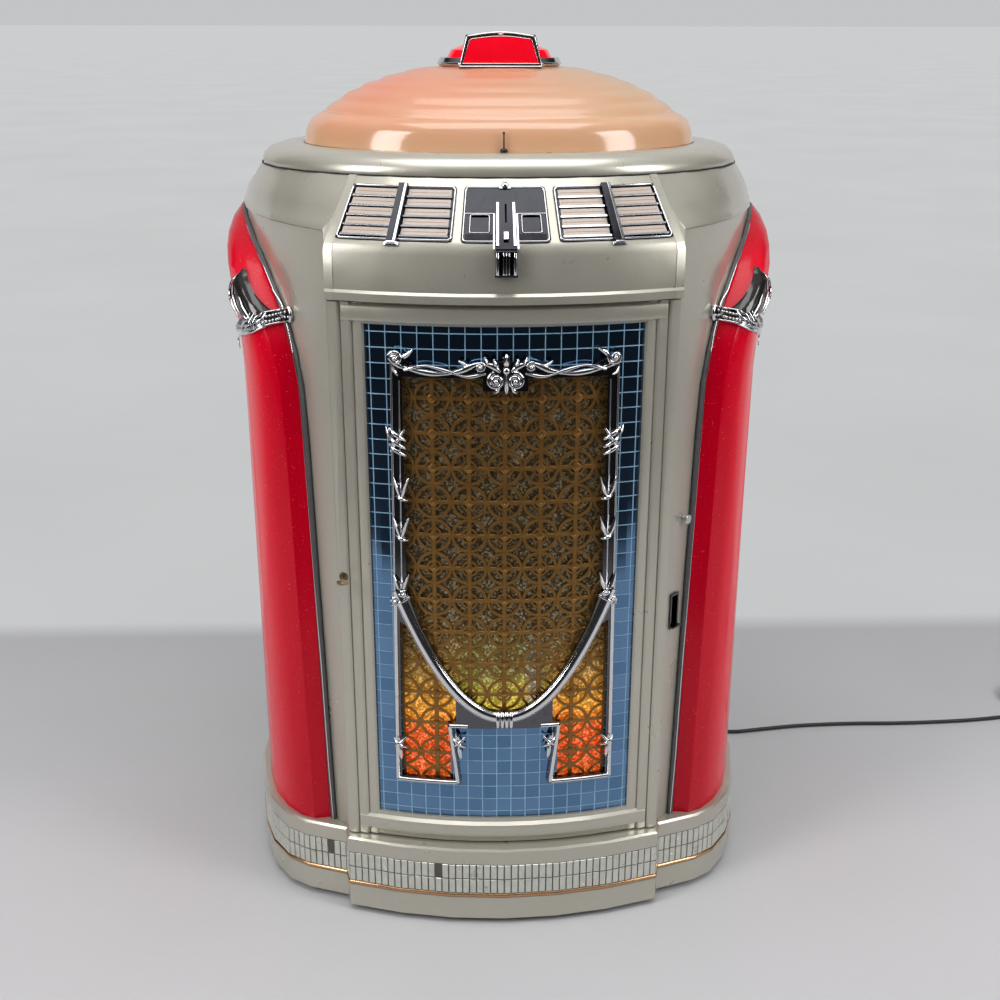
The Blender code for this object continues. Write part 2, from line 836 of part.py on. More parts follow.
def moved_in(points, inset, closed=True):
    """An outline, counter-clockwise from above, moved towards its inside by a distance."""
    if not inset:
        return points
    result = []
    count = len(points)
    for index, (x, y) in enumerate(points):
        before = Vector(points[index - 1]) if closed or index else None
        after = Vector(points[(index + 1) % count]) if closed or index < count - 1 else None
        here = Vector((x, y))
        sides = []
        if before is not None:
            sides.append((here - before).normalized())
        if after is not None:
            sides.append((after - here).normalized())
        normals = [Vector((-side.y, side.x)) for side in sides]
        mean = sum(normals, Vector((0, 0)))
        mean.normalize()
        stretch = 1 / max(mean.dot(normals[0]), MITRE_LIMIT_SHARE)
        moved = here + mean * inset * stretch
        result.append((moved.x, moved.y))
    return result


def console_point(width_share, slope_share, height=0.0):
    """A place over the sloping console face, by its shares of width and slope and its height."""
    lower = Vector(
        (
            CONSOLE_HALF_WIDTH * width_share,
            CONSOLE_EDGE_Y - CONSOLE_BOW * (1 - width_share**2),
            CONSOLE_EDGE_Z,
        )
    )
    x = CONSOLE_TOP_HALF_WIDTH * width_share
    upper = Vector((x, lid_front_y(x), CONSOLE_TOP_Z))
    return lower.lerp(upper, slope_share) + console_normal(width_share) * height


def console_normal(width_share):
    step = NORMAL_STEP_SHARE
    ends = []
    for share in (width_share - step, width_share + step):
        ends.append(
            Vector(
                (CONSOLE_HALF_WIDTH * share, CONSOLE_EDGE_Y - CONSOLE_BOW * (1 - share**2), CONSOLE_EDGE_Z),
            )
        )
    across = ends[1] - ends[0]
    x = CONSOLE_TOP_HALF_WIDTH * width_share
    lower = (ends[0] + ends[1]) / 2
    up = Vector((x, lid_front_y(x), CONSOLE_TOP_Z)) - lower
    return across.cross(up).normalized()


def slope_length():
    return (console_point(0, 1) - console_point(0, 0)).length


def lid_front_y(x, inset=0.0):
    half_width = LID_HALF_WIDTH - inset
    half_depth = LID_HALF_DEPTH - inset
    return LID_CENTRE_Y - half_depth * math.sqrt(1 - (x / half_width) ** 2)


def console_slab(name, widths, slopes, heights, look=None, columns=6):
    """A curved block on the console face between two shares of width, two of slope and two heights."""
    sections = []
    for step in range(columns + 1):
        width = widths[0] + (widths[1] - widths[0]) * step / columns
        sections.append(
            [
                console_point(width, slopes[0], heights[0]),
                console_point(width, slopes[1], heights[0]),
                console_point(width, slopes[1], heights[1]),
                console_point(width, slopes[0], heights[1]),
            ]
        )
    return smooth(loft(name, sections, look), 20)


def door_y(x, depth=0.0):
    """The door's bowed face at a width, or a surface some depth behind it."""
    return bow_y(x, DOOR_EDGE_Y, DOOR_BOW, DOOR_HALF_WIDTH) + depth


def facet_y(x, depth=0.0):
    """The door's bow as flat facets one bend pitch wide, which keep bent plates simple."""
    place = x / BEND_PITCH - 1 / 2
    column = math.floor(place)
    low = door_y((column + 1 / 2) * BEND_PITCH)
    high = door_y((column + 3 / 2) * BEND_PITCH)
    return low + (high - low) * (place - column) + depth


def bent_to_door(piece, depth):
    """Stands a flat plate, modelled as x by z in its plan, up against the door's bowed face."""
    bm = bmesh.new()
    bm.from_mesh(piece.data)
    bm.transform(piece.matrix_world)
    piece.matrix_world = Matrix.Identity(4)
    bmesh.ops.triangulate(bm, faces=bm.faces)
    columns = int(DOOR_HALF_WIDTH / BEND_PITCH)
    for column in range(-columns, columns):
        geometry = bm.verts[:] + bm.edges[:] + bm.faces[:]
        line = ((column + 1 / 2) * BEND_PITCH, 0, 0)
        bmesh.ops.bisect_plane(bm, geom=geometry, plane_co=line, plane_no=(1, 0, 0))
    for vertex in bm.verts:
        x, up, thick = vertex.co
        vertex.co = (x, facet_y(x, depth - thick), up)
    bmesh.ops.remove_doubles(bm, verts=bm.verts, dist=WELD)
    bmesh.ops.recalc_face_normals(bm, faces=bm.faces)
    bm.to_mesh(piece.data)
    bm.free()
    return piece


# Sub-parts


def half_round(radius, sides):
    """A half-round section with its flat at the path and its crown outwards."""
    points = []
    for step in range(sides + 1):
        angle = -math.pi / 2 + math.pi * step / sides
        points.append((radius * math.cos(angle), radius * math.sin(angle)))
    return points


def add_base():
    recess = BAND_RECESS
    copper_bottom = BAND_BOTTOM_Z - 2 * COPPER_RADIUS - GAP
    wall_section = (
        (0, SKIRT_BOTTOM_Z),
        (0, copper_bottom - GAP),
        (-recess, copper_bottom - GAP),
        (-recess, BAND_TOP_Z + GAP),
        (0, BAND_TOP_Z + GAP),
        (0, SKIRT_TOP_Z - SKIRT_LEDGE / 3),
        (-SKIRT_LEDGE / 3, SKIRT_TOP_Z),
        (-SKIRT_WALL, SKIRT_TOP_Z),
        (-SKIRT_WALL, SKIRT_BOTTOM_Z),
    )
    sections = []
    for out, up in wall_section:
        sections.append([(x, y, up) for x, y in skirt_plan(-out)])
    base = loft("base_skirt", sections, "champagne", closed=True)
    ledge = plate(
        "skirt ledge",
        [skirt_plan(SKIRT_WALL / 2), barrel_plan(SKIRT_LEDGE_REACH)],
        SKIRT_TOP_Z - SKIRT_LEDGE,
        SKIRT_TOP_Z - GAP,
    )
    board = plate("base board", [skirt_plan(SKIRT_WALL / 2)], BASE_BOARD_Z, BASE_BOARD_Z + BASE_BOARD)
    join(base, ledge, board)
    cut(base, hinge_socket("lower pivot socket", SKIRT_TOP_Z - HINGE_SOCKET_DEPTH, SKIRT_TOP_Z + OVERRUN))
    for name, x, y in caster_places():
        join(base, *caster_fork(name, x, y))
    return base


def caster_places():
    places = []
    for end, y in (("front", CASTER_FRONT_Y), ("back", CASTER_BACK_Y)):
        for side, x in (("left", -CASTER_HALF_TRACK), ("right", CASTER_HALF_TRACK)):
            places.append((f"caster_wheel_{end}_{side}", x, y))
    return places


def caster_fork(name, x, y):
    cheeks = []
    inner = CASTER_WHEEL_WIDTH / 2 + RUNNING_GAP
    for side in (-1, 1):
        near, far = sorted((x + side * inner, x + side * (inner + CASTER_CHEEK)))
        cheeks.append(
            block(
                f"{name} cheek {side}",
                (near, y - CASTER_CHEEK_LENGTH / 2, CASTER_WHEEL_RADIUS - 2 * CASTER_AXLE_RADIUS),
                (far, y + CASTER_CHEEK_LENGTH / 2, BASE_BOARD_Z + BASE_BOARD / 2),
            )
        )
    axle = rod(
        f"{name} axle",
        (x - inner - CASTER_CHEEK / 2, y, CASTER_WHEEL_RADIUS),
        (x + inner + CASTER_CHEEK / 2, y, CASTER_WHEEL_RADIUS),
        CASTER_AXLE_RADIUS,
        sides=10,
    )
    return cheeks + [axle]


def add_caster_wheels():
    for name, x, y in caster_places():
        half = CASTER_WHEEL_WIDTH / 2
        wheel = rod(
            name,
            (x - half, y, CASTER_WHEEL_RADIUS),
            (x + half, y, CASTER_WHEEL_RADIUS),
            CASTER_WHEEL_RADIUS,
            "rubber",
            24,
        )
        reach = half + OVERRUN
        bore = rod(
            f"{name} bore",
            (x - reach, y, CASTER_WHEEL_RADIUS),
            (x + reach, y, CASTER_WHEEL_RADIUS),
            CASTER_AXLE_RADIUS + BAR_CLEARANCE,
            sides=10,
        )
        cut(wheel, bore)


def open_skirt_path(inset):
    """The skirt's outline from its left rear over the front to its right rear, in plan."""
    half = moved_in(skirt_half_plan(), inset, closed=False)
    half[0] = (0, half[0][1])
    run = half[:-1]
    return [(-x, y) for x, y in reversed(run[1:])] + run


def add_skirt_trims():
    outer = open_skirt_path(BAND_RECESS - GAP - BAND_THICKNESS)
    inner = open_skirt_path(BAND_RECESS - GAP)
    plate("skirt_mirror_band", [outer + inner[::-1]], BAND_BOTTOM_Z, BAND_TOP_Z, "mirror_clear")
    sections = []
    path = open_skirt_path(BAND_RECESS - GAP)
    front = open_skirt_path(-COPPER_RADIUS / 2)
    middle = BAND_BOTTOM_Z - COPPER_RADIUS - GAP
    for (x, y), (far_x, far_y) in zip(path, front):
        section = [(x, y, middle - COPPER_RADIUS), (x, y, middle + COPPER_RADIUS)]
        for step in range(COPPER_SIDES // 2 + 1):
            angle = math.pi * step / (COPPER_SIDES // 2)
            reach = (1 + math.sin(angle)) / 2
            section.append(
                (x + (far_x - x) * reach, y + (far_y - y) * reach, middle + COPPER_RADIUS * math.cos(angle))
            )
        sections.append(section)
    loft("skirt_copper_trim", sections, "copper")


def add_cabinet():
    shell = plate(
        "cabinet_shell",
        [barrel_plan(), barrel_plan(WALL)],
        SKIRT_TOP_Z + GAP,
        RIM_Z - GAP,
        "champagne",
    )
    front = front_flat_y()
    doorway = block(
        "doorway",
        (-DOOR_OPENING_HALF_WIDTH, front - OVERRUN, DOOR_OPENING_BOTTOM_Z),
        (DOOR_OPENING_HALF_WIDTH, front + WALL + OVERRUN, DOOR_OPENING_TOP_Z),
    )
    service = block(
        "service opening",
        (-BACK_OPENING_HALF_WIDTH, BARREL_BACK_Y - WALL - OVERRUN, BACK_OPENING_BOTTOM_Z),
        (BACK_OPENING_HALF_WIDTH, BARREL_BACK_Y + OVERRUN, BACK_OPENING_TOP_Z),
    )
    rebate = block(
        "back rebate",
        (
            -BACK_OPENING_HALF_WIDTH - BACK_PANEL_MARGIN,
            BARREL_BACK_Y - BACK_PANEL_THICKNESS - GAP,
            BACK_OPENING_BOTTOM_Z - BACK_PANEL_MARGIN,
        ),
        (
            BACK_OPENING_HALF_WIDTH + BACK_PANEL_MARGIN,
            BARREL_BACK_Y + OVERRUN,
            BACK_OPENING_TOP_Z + BACK_PANEL_MARGIN,
        ),
    )
    relief = block(
        "console relief",
        (-RELIEF_HALF_WIDTH, front - OVERRUN, RELIEF_BOTTOM_Z),
        (RELIEF_HALF_WIDTH, front + WALL + OVERRUN, RIM_Z + OVERRUN),
    )
    cut(shell, doorway, service, rebate, relief)
    for side in (-1, 1):
        inner = SHELF_HALF_WIDTH - RAIL_SIZE
        near, far = sorted((side * inner, side * (BARREL_HALF_WIDTH - WALL / 2)))
        rail = block(
            f"shelf rail {side}",
            (near, BARREL_WIDEST_Y - RAIL_SIZE, SHELF_Z - RAIL_SIZE),
            (far, BARREL_WIDEST_Y + RAIL_SIZE, SHELF_Z - GAP),
        )
        join(shell, rail)
    cut(shell, wall_bore("button hole", BUTTON_ANGLE, BUTTON_Z, BUTTON_RADIUS + BAR_CLEARANCE))
    cut(
        shell,
        wall_box("return hole", RETURN_ANGLE, RETURN_Z, RETURN_WIDTH / 2 - RETURN_WALL + BAR_CLEARANCE, RETURN_HEIGHT / 2 - RETURN_WALL + BAR_CLEARANCE, -RETURN_CUP_DEPTH, OVERRUN),
    )
    return shell


def wall_frame(angle, height, side=1):
    """Axes at a place on the barrel's wall: X along the wall, Y up, Z outwards."""
    out = barrel_normal(angle, side)
    up = Vector((0, 0, 1))
    along = up.cross(out)
    frame = Matrix((along, up, out)).transposed().to_4x4()
    frame.translation = barrel_point(angle, 0, height, side)
    return frame


def wall_box(name, angle, height, half_width, half_height, low, high, look=None):
    bm = bmesh.new()
    bmesh.ops.create_cube(bm, size=1)
    bmesh.ops.scale(bm, vec=(2 * half_width, 2 * half_height, high - low), verts=bm.verts)
    bmesh.ops.translate(bm, vec=(0, 0, (low + high) / 2), verts=bm.verts)
    piece = put(name, mesh_from(bm, name), look)
    piece.matrix_world = wall_frame(angle, height)
    return piece


def wall_bore(name, angle, height, radius):
    frame = wall_frame(angle, height)
    return rod(
        name,
        frame @ Vector((0, 0, -WALL - OVERRUN)),
        frame @ Vector((0, 0, OVERRUN)),
        radius,
        sides=16,
    )


def deck_rings():
    """Outlines of the deck's section, outside from the rim up to the lid seam, then back inside."""
    rim = barrel_plan()
    seam = []
    for x, y in rim:
        angle = math.atan2((y - LID_CENTRE_Y) / LID_HALF_DEPTH, x / LID_HALF_WIDTH)
        seam.append((LID_HALF_WIDTH * math.cos(angle), LID_CENTRE_Y + LID_HALF_DEPTH * math.sin(angle)))
    rise = LID_SEAM_Z - GAP - RIM_Z
    start, end = Vector(rim[0]), Vector(rim[-1])

    def ring(inward, upward, inset, drop=0.0):
        points = []
        for (x, y), (seam_x, seam_y) in zip(moved_in(rim, inset, False), moved_in(seam, inset, False)):
            here = Vector((x, y))
            blend = min(1, min((here - start).length, (here - end).length) / DECK_BLEND_REACH)
            share = upward + (inward - upward) * blend
            points.append((x + (seam_x - x) * share, y + (seam_y - y) * share, RIM_Z + rise * upward - drop))
        return points

    outer = [ring(0, 0, 0)] + [ring(0, upward, -DECK_BEAD) for upward in DECK_BEAD_SHARES]
    outer += [ring(inward, upward, 0) for inward, upward in DECK_SHOULDER_SHARES]
    inner = [ring(1, 1, DECK_LIP), ring(1, 1, DECK_LIP, DECK_SHEET)]
    inner += [ring(inward, upward, DECK_SHEET, DECK_SHEET) for inward, upward in DECK_SHOULDER_SHARES[-3::-2]]
    return outer + inner + [ring(0, 0, DECK_SHEET)]


def console_face_y(width_share):
    return CONSOLE_EDGE_Y - CONSOLE_BOW * (1 - width_share**2)


def console_outline(width_share, proud=0.0):
    """The outside of the console's section, from its lower lip up to the lid seam."""
    x = CONSOLE_HALF_WIDTH * width_share
    face = console_face_y(width_share) - proud
    top = console_point(width_share, 1)
    return [
        (x, face - CONSOLE_LIP, CONSOLE_BOTTOM_Z),
        (x, face - CONSOLE_LIP, CONSOLE_LIP_Z - CONSOLE_LIP),
        (x, face, CONSOLE_LIP_Z),
        (x, face, CONSOLE_EDGE_Z - CONSOLE_EDGE_ROUND),
        tuple(console_point(width_share, CONSOLE_EDGE_ROUND / slope_length(), proud)),
        (top.x, top.y - 2 * proud, top.z),
        (top.x, top.y + DECK_LIP, top.z),
    ]


def console_sheet():
    """The console's bowed front and sloping face as one bent sheet."""
    sections = []
    reach = 1 - CHEEK_SHARE / 2
    for step in range(CONSOLE_COLUMNS + 1):
        share = reach * (2 * step / CONSOLE_COLUMNS - 1)
        x = CONSOLE_HALF_WIDTH * share
        inner = console_face_y(share) + CONSOLE_SHEET
        top = console_point(share, 1)
        section = console_outline(share)
        section.append((top.x, top.y + DECK_LIP, top.z - DECK_SHEET))
        section.append(tuple(console_point(share, 1 - 2 * CONSOLE_SHEET / slope_length(), -CONSOLE_SHEET)))
        section.append(tuple(console_point(share, CONSOLE_SHEET / slope_length(), -CONSOLE_SHEET)))
        section.append((x, inner, CONSOLE_EDGE_Z - CONSOLE_EDGE_ROUND))
        section.append((x, inner, CONSOLE_BOTTOM_Z))
        sections.append(section)
    return smooth(loft("console sheet", sections), 20)


def console_cheek(side):
    """The solid end of the console, which meets the deck and carries the door's upper pivot."""
    sections = []
    back = front_flat_y() - GAP
    for share in (side * (1 - CHEEK_SHARE), side):
        x = CONSOLE_HALF_WIDTH * share
        section = console_outline(share, CHEEK_PROUD)
        section.append((x, back + DECK_SHEET, RIM_Z + 2 * GAP))
        section.append((x, back, RIM_Z + GAP))
        section.append((x, back, CONSOLE_BOTTOM_Z))
        sections.append(section)
    return loft(f"console cheek {side}", sections)


def add_deck():
    """The sloping deck from the rim to the lid seam, with the console raised on its front."""
    deck = loft("top_deck", list(zip(*deck_rings())), "champagne")
    join(deck, console_sheet(), console_cheek(-1), console_cheek(1))
    for name, side in (("left", -1), ("right", 1)):
        cut(deck, title_window(name, side))
    cut(deck, coin_window())
    cut(
        deck,
        hinge_socket("upper pivot socket", CONSOLE_BOTTOM_Z - OVERRUN, CONSOLE_BOTTOM_Z + HINGE_SOCKET_DEPTH),
    )
    for side in (-1, 1):
        join(deck, *lid_knuckle(f"deck knuckle {side}", side * LID_KNUCKLE_X, -1))
    return deck


def hinge_socket(name, low, high):
    return rod(
        name,
        (HINGE_X, HINGE_Y, low),
        (HINGE_X, HINGE_Y, high),
        HINGE_PIN_RADIUS + BAR_CLEARANCE,
        sides=12,
    )


def title_shares(side, inset=0.0):
    """The width and slope shares of a title panel, drawn in by a distance."""
    across = inset / CONSOLE_HALF_WIDTH
    along = inset / slope_length()
    near = side * (TITLE_INNER_SHARE + across)
    far = side * (TITLE_OUTER_SHARE - across)
    return (min(near, far), max(near, far)), (TITLE_LOW_SHARE + along, TITLE_HIGH_SHARE - along)


def title_window(name, side):
    widths, slopes = title_shares(side, -GAP)
    return console_slab(
        f"{name} title window",
        widths,
        slopes,
        (-TITLE_POCKET_DEPTH, OVERRUN),
        columns=TITLE_COLUMNS,
    )


def coin_shares(inset=0.0):
    across = COIN_HALF_WIDTH_SHARE - inset / CONSOLE_HALF_WIDTH
    along = inset / slope_length()
    return (-across, across), (COIN_LOW_SHARE + along, COIN_HIGH_SHARE - along)


def coin_window():
    widths, slopes = coin_shares(-GAP)
    return console_slab("coin window", widths, slopes, (-TITLE_POCKET_DEPTH, OVERRUN), columns=COIN_COLUMNS)


def bar_places():
    """Each selector bar's name, side, width shares and slope shares."""
    places = []
    count = 0
    rim = TITLE_RIM / CONSOLE_HALF_WIDTH
    ridge = RIDGE_HALF_WIDTH / CONSOLE_HALF_WIDTH
    low = TITLE_LOW_SHARE + TITLE_RIM / slope_length()
    high = TITLE_HIGH_SHARE - TITLE_RIM / slope_length()
    height = BAR_HEIGHT / slope_length()
    end_gap = BAR_END_CLEARANCE / CONSOLE_HALF_WIDTH
    for side in (-1, 1):
        columns = (
            (TITLE_INNER_SHARE + rim, RIDGE_MIDDLE_SHARE - ridge),
            (RIDGE_MIDDLE_SHARE + ridge, TITLE_OUTER_SHARE - rim),
        )
        for near, far in columns:
            widths = tuple(sorted((side * (near + end_gap), side * (far - end_gap))))
            for row in range(BAR_ROWS):
                foot = low + (high - low) * row / BAR_ROWS + BAR_CLEARANCE / slope_length()
                count += 1
                places.append((f"select_bar_{count:02d}", side, widths, (foot, foot + height)))
    return places


def console_box(name, widths, slopes, heights, look=None):
    """A straight box on the console's face, square to the chord between two shares of its width."""
    middle = sum(slopes) / 2
    near = console_point(widths[0], middle)
    far = console_point(widths[1], middle)
    along = (far - near).normalized()
    out = console_normal(sum(widths) / 2)
    up = out.cross(along).normalized()
    out = along.cross(up)
    rise = slope_length() * (slopes[1] - slopes[0])
    piece = block(name, (0, 0, 0), ((far - near).length, rise, heights[1] - heights[0]), look)
    frame = Matrix((along, up, out)).transposed().to_4x4()
    frame.translation = (near + far) / 2 + out * (heights[0] + heights[1]) / 2
    piece.matrix_world = frame
    return piece


def add_title_panels():
    ridge = RIDGE_HALF_WIDTH / CONSOLE_HALF_WIDTH
    lap = RIDGE_LAP / CONSOLE_HALF_WIDTH
    run = TITLE_RIM / slope_length()
    across = BAR_END_CLEARANCE / 2 / CONSOLE_HALF_WIDTH
    along = BAR_CLEARANCE / slope_length()
    for name, side in (("left", -1), ("right", 1)):
        widths, slopes = title_shares(side)
        panel = console_slab(
            f"title_panel_{name}", widths, slopes, (-TITLE_DEPTH, TITLE_PROUD), "chrome", columns=TITLE_COLUMNS
        )
        middle = side * RIDGE_MIDDLE_SHARE
        near_widths, near_slopes = title_shares(side, TITLE_RIM)
        heights = (TITLE_PROUD - TITLE_RECESS, TITLE_PROUD + OVERRUN)
        fields = ((near_widths[0], middle - ridge + lap), (middle + ridge - lap, near_widths[1]))
        for index, field in enumerate(fields):
            cut(panel, console_slab(f"{name} title field {index}", field, near_slopes, heights, columns=2))
        join(
            panel,
            console_slab(
                f"{name} ridge",
                (middle - ridge, middle + ridge),
                (slopes[0] - run, slopes[1] + run / 2),
                (TITLE_PROUD / 2, RIDGE_PROUD),
                columns=1,
            ),
        )
        for bar, bar_side, (near, far), (low, high) in bar_places():
            if bar_side == side:
                slot = console_box(
                    f"{bar} slot",
                    (near - across, far + across),
                    (low - along, high + along),
                    (-TITLE_DEPTH - OVERRUN, OVERRUN),
                )
                cut(panel, slot)


def add_select_bars():
    for name, side, widths, slopes in bar_places():
        console_box(name, widths, slopes, (-TITLE_DEPTH - BAR_TAIL, BAR_PROUD), "chrome")


def add_coin_plate():
    widths, slopes = coin_shares()
    panel = console_slab(
        "coin_plate",
        widths,
        slopes,
        (-COIN_DEPTH, COIN_PROUD),
        "chrome",
        columns=COIN_COLUMNS,
    )
    across = STEM_HALF_WIDTH / CONSOLE_HALF_WIDTH
    overhang = STEM_PROUD / 2
    stem = console_slab(
        "coin stem",
        (-across, across),
        (-overhang / slope_length(), STEM_HIGH_SHARE),
        (GAP, STEM_PROUD),
        columns=2,
    )
    front = console_point(0, 0).y
    drop = block(
        "coin stem drop",
        (-STEM_HALF_WIDTH, front - STEM_PROUD, STEM_BOTTOM_Z),
        (STEM_HALF_WIDTH, front - GAP, CONSOLE_EDGE_Z + STEM_PROUD / 2),
    )
    join(panel, stem, drop)
    slot = COIN_SLOT_WIDTH / 2 / CONSOLE_HALF_WIDTH
    cut(
        panel,
        console_slab(
            "coin slot",
            (-slot, slot),
            (COIN_SLOT_LOW_SHARE, COIN_SLOT_HIGH_SHARE),
            (-COIN_DEPTH - OVERRUN, STEM_PROUD + OVERRUN),
            columns=1,
        ),
    )
    half = (LEVER_HALF_WIDTH + BAR_CLEARANCE) / CONSOLE_HALF_WIDTH
    margin = BAR_CLEARANCE / slope_length()
    travel = LEVER_TRAVEL / slope_length()
    cut(
        panel,
        console_slab(
            "lever channel",
            (-half, half),
            (LEVER_LOW_SHARE - margin - travel, LEVER_HIGH_SHARE + margin),
            (STEM_PROUD - LEVER_CHANNEL_DEPTH, STEM_PROUD + OVERRUN),
            columns=1,
        ),
    )
    for side in (-1, 1):
        near, far = sorted((side * COIN_WINDOW_INNER_SHARE, side * COIN_WINDOW_OUTER_SHARE))
        cut(
            panel,
            console_slab(
                f"coin window {side}",
                (near, far),
                (COIN_WINDOW_LOW_SHARE, COIN_WINDOW_HIGH_SHARE),
                (COIN_PROUD - COIN_WINDOW_DEPTH, COIN_PROUD + OVERRUN),
                columns=1,
            ),
        )
    share = LEVER_HALF_WIDTH / CONSOLE_HALF_WIDTH
    lever = console_slab(
        "coin_lever",
        (-share, share),
        (LEVER_LOW_SHARE, LEVER_HIGH_SHARE),
        (STEM_PROUD - LEVER_CHANNEL_DEPTH + GAP, STEM_PROUD - LEVER_CHANNEL_DEPTH + LEVER_PROUD),
        "chrome",
        columns=1,
    )
    pivot("coin lever slide", console_point(0, LEVER_HIGH_SHARE, STEM_PROUD), lever)


def door_back_y():
    return front_flat_y() - GAP


def mirror_back_depth():
    return MIRROR_DEPTH + MIRROR_THICKNESS + GAP


def ledge_depth():
    """The mirror's ledge, behind the deepest place of the panel's facets."""
    return mirror_back_depth() + DOOR_BOW * (BEND_PITCH / 2 / DOOR_HALF_WIDTH) ** 2 + GAP


def stile_plan(side):
    """A door stile's plan: three stepped mouldings in front and the mirror's ledge behind them."""
    points = []
    for index in range(3):
        outer = DOOR_HALF_WIDTH - index * STILE_STEP_WIDTH
        width = STILE_STEP_WIDTH if index < 2 else outer - PANEL_HALF_WIDTH - GAP
        for across, sunk in STILE_ROUND_SHARES:
            x = outer - width * across
            points.append((x, door_y(x, STILE_STEP_DEPTH * (index + sunk))))
    inner = PANEL_HALF_WIDTH + GAP
    ledge = inner - LEDGE
    points.append((inner, door_y(inner, ledge_depth())))
    points.append((ledge, door_y(ledge, ledge_depth())))
    points.append((ledge, door_y(ledge, STILE_BACK_DEPTH)))
    step = DOOR_HALF_WIDTH - STILE_STEP_WIDTH
    points.append((step, door_y(step, STILE_BACK_DEPTH)))
    points.append((step, door_back_y()))
    points.append((DOOR_HALF_WIDTH - DOOR_BACK_CHAMFER, door_back_y()))
    points.append((DOOR_HALF_WIDTH, door_back_y() - DOOR_BACK_CHAMFER))
    return [(side * x, y) for x, y in points]


def door_beam(name, low, high, roll_radius, roll_z, ledge_side):
    """A cross beam between the stiles, with a half-round roll in front and a ledge for the mirror."""
    outline = [(BEAM_FACE_DEPTH, low), (BEAM_FACE_DEPTH, roll_z - roll_radius)]
    for out, up in half_round(roll_radius, ROLL_SIDES)[1:-1]:
        outline.append((BEAM_FACE_DEPTH * (1 - out / roll_radius), roll_z + up))
    outline += [(BEAM_FACE_DEPTH, roll_z + roll_radius), (BEAM_FACE_DEPTH, high)]
    front = ledge_depth() + LEDGE_SET_BACK
    if ledge_side > 0:
        outline += [
            (front, high),
            (front, high + LEDGE),
            (BEAM_BACK_DEPTH, high + LEDGE),
            (BEAM_BACK_DEPTH, low),
        ]
    else:
        outline += [
            (BEAM_BACK_DEPTH, high),
            (BEAM_BACK_DEPTH, low - LEDGE),
            (front, low - LEDGE),
            (front, low),
        ]
    sections = []
    half_width = DOOR_HALF_WIDTH - ROLL_INSET
    for step in range(DOOR_COLUMNS + 1):
        x = half_width * (2 * step / DOOR_COLUMNS - 1)
        sections.append([(x, door_y(x, depth), z) for depth, z in outline])
    return loft(name, sections)


def closing_plate(name, low):
    """A thin end plate that closes the space behind the door's bow."""
    outline = []
    half_width = DOOR_HALF_WIDTH - STILE_STEP_DEPTH
    for step in range(DOOR_COLUMNS + 1):
        x = half_width * (2 * step / DOOR_COLUMNS - 1)
        outline.append((x, door_y(x, DOOR_PLATE_DEPTH)))
    back = door_back_y() - DOOR_PLATE_SET_BACK
    chamfer = half_width - DOOR_BACK_CHAMFER
    outline += [
        (half_width, back - DOOR_BACK_CHAMFER),
        (chamfer, back),
        (-chamfer, back),
        (-half_width, back - DOOR_BACK_CHAMFER),
    ]
    return plate(name, [outline], low, low + DOOR_CLOSING_PLATE)


def add_door():
    frame = plate("door_frame", [stile_plan(-1)], DOOR_BOTTOM_Z, DOOR_TOP_Z, "champagne")
    right = plate("right stile", [stile_plan(1)], DOOR_BOTTOM_Z, DOOR_TOP_Z)
    low, high = DOOR_BOTTOM_Z + 2 * DOOR_PLATE_SET_BACK, DOOR_TOP_Z - 2 * DOOR_PLATE_SET_BACK
    header = door_beam("header", PANEL_TOP_Z + GAP, high, HEADER_ROLL_RADIUS, HEADER_ROLL_Z, -1)
    sill = door_beam("sill", low, PANEL_BOTTOM_Z - GAP, SILL_ROLL_RADIUS, SILL_ROLL_Z, 1)
    top = closing_plate("top closing plate", DOOR_TOP_Z - DOOR_CLOSING_PLATE - DOOR_PLATE_SET_BACK)
    bottom = closing_plate("bottom closing plate", DOOR_BOTTOM_Z + DOOR_PLATE_SET_BACK)
    upper = rod(
        "upper pivot",
        (HINGE_X, HINGE_Y, DOOR_TOP_Z - OVERRUN),
        (HINGE_X, HINGE_Y, CONSOLE_BOTTOM_Z + HINGE_PIN_REACH),
        HINGE_PIN_RADIUS,
        sides=12,
    )
    lower = rod(
        "lower pivot",
        (HINGE_X, HINGE_Y, DOOR_BOTTOM_Z + OVERRUN),
        (HINGE_X, HINGE_Y, SKIRT_TOP_Z - HINGE_PIN_REACH),
        HINGE_PIN_RADIUS,
        sides=12,
    )
    join(frame, right, header, sill, top, bottom, upper, lower)
    bore = rod(
        "lock bore",
        (LOCK_X, lock_face_y() - OVERRUN, LOCK_Z),
        (LOCK_X, door_back_y() + OVERRUN, LOCK_Z),
        LOCK_RADIUS + BAR_CLEARANCE,
        sides=16,
    )
    cut(frame, bore)
    return frame


def lock_face_y():
    return door_y(LOCK_X)


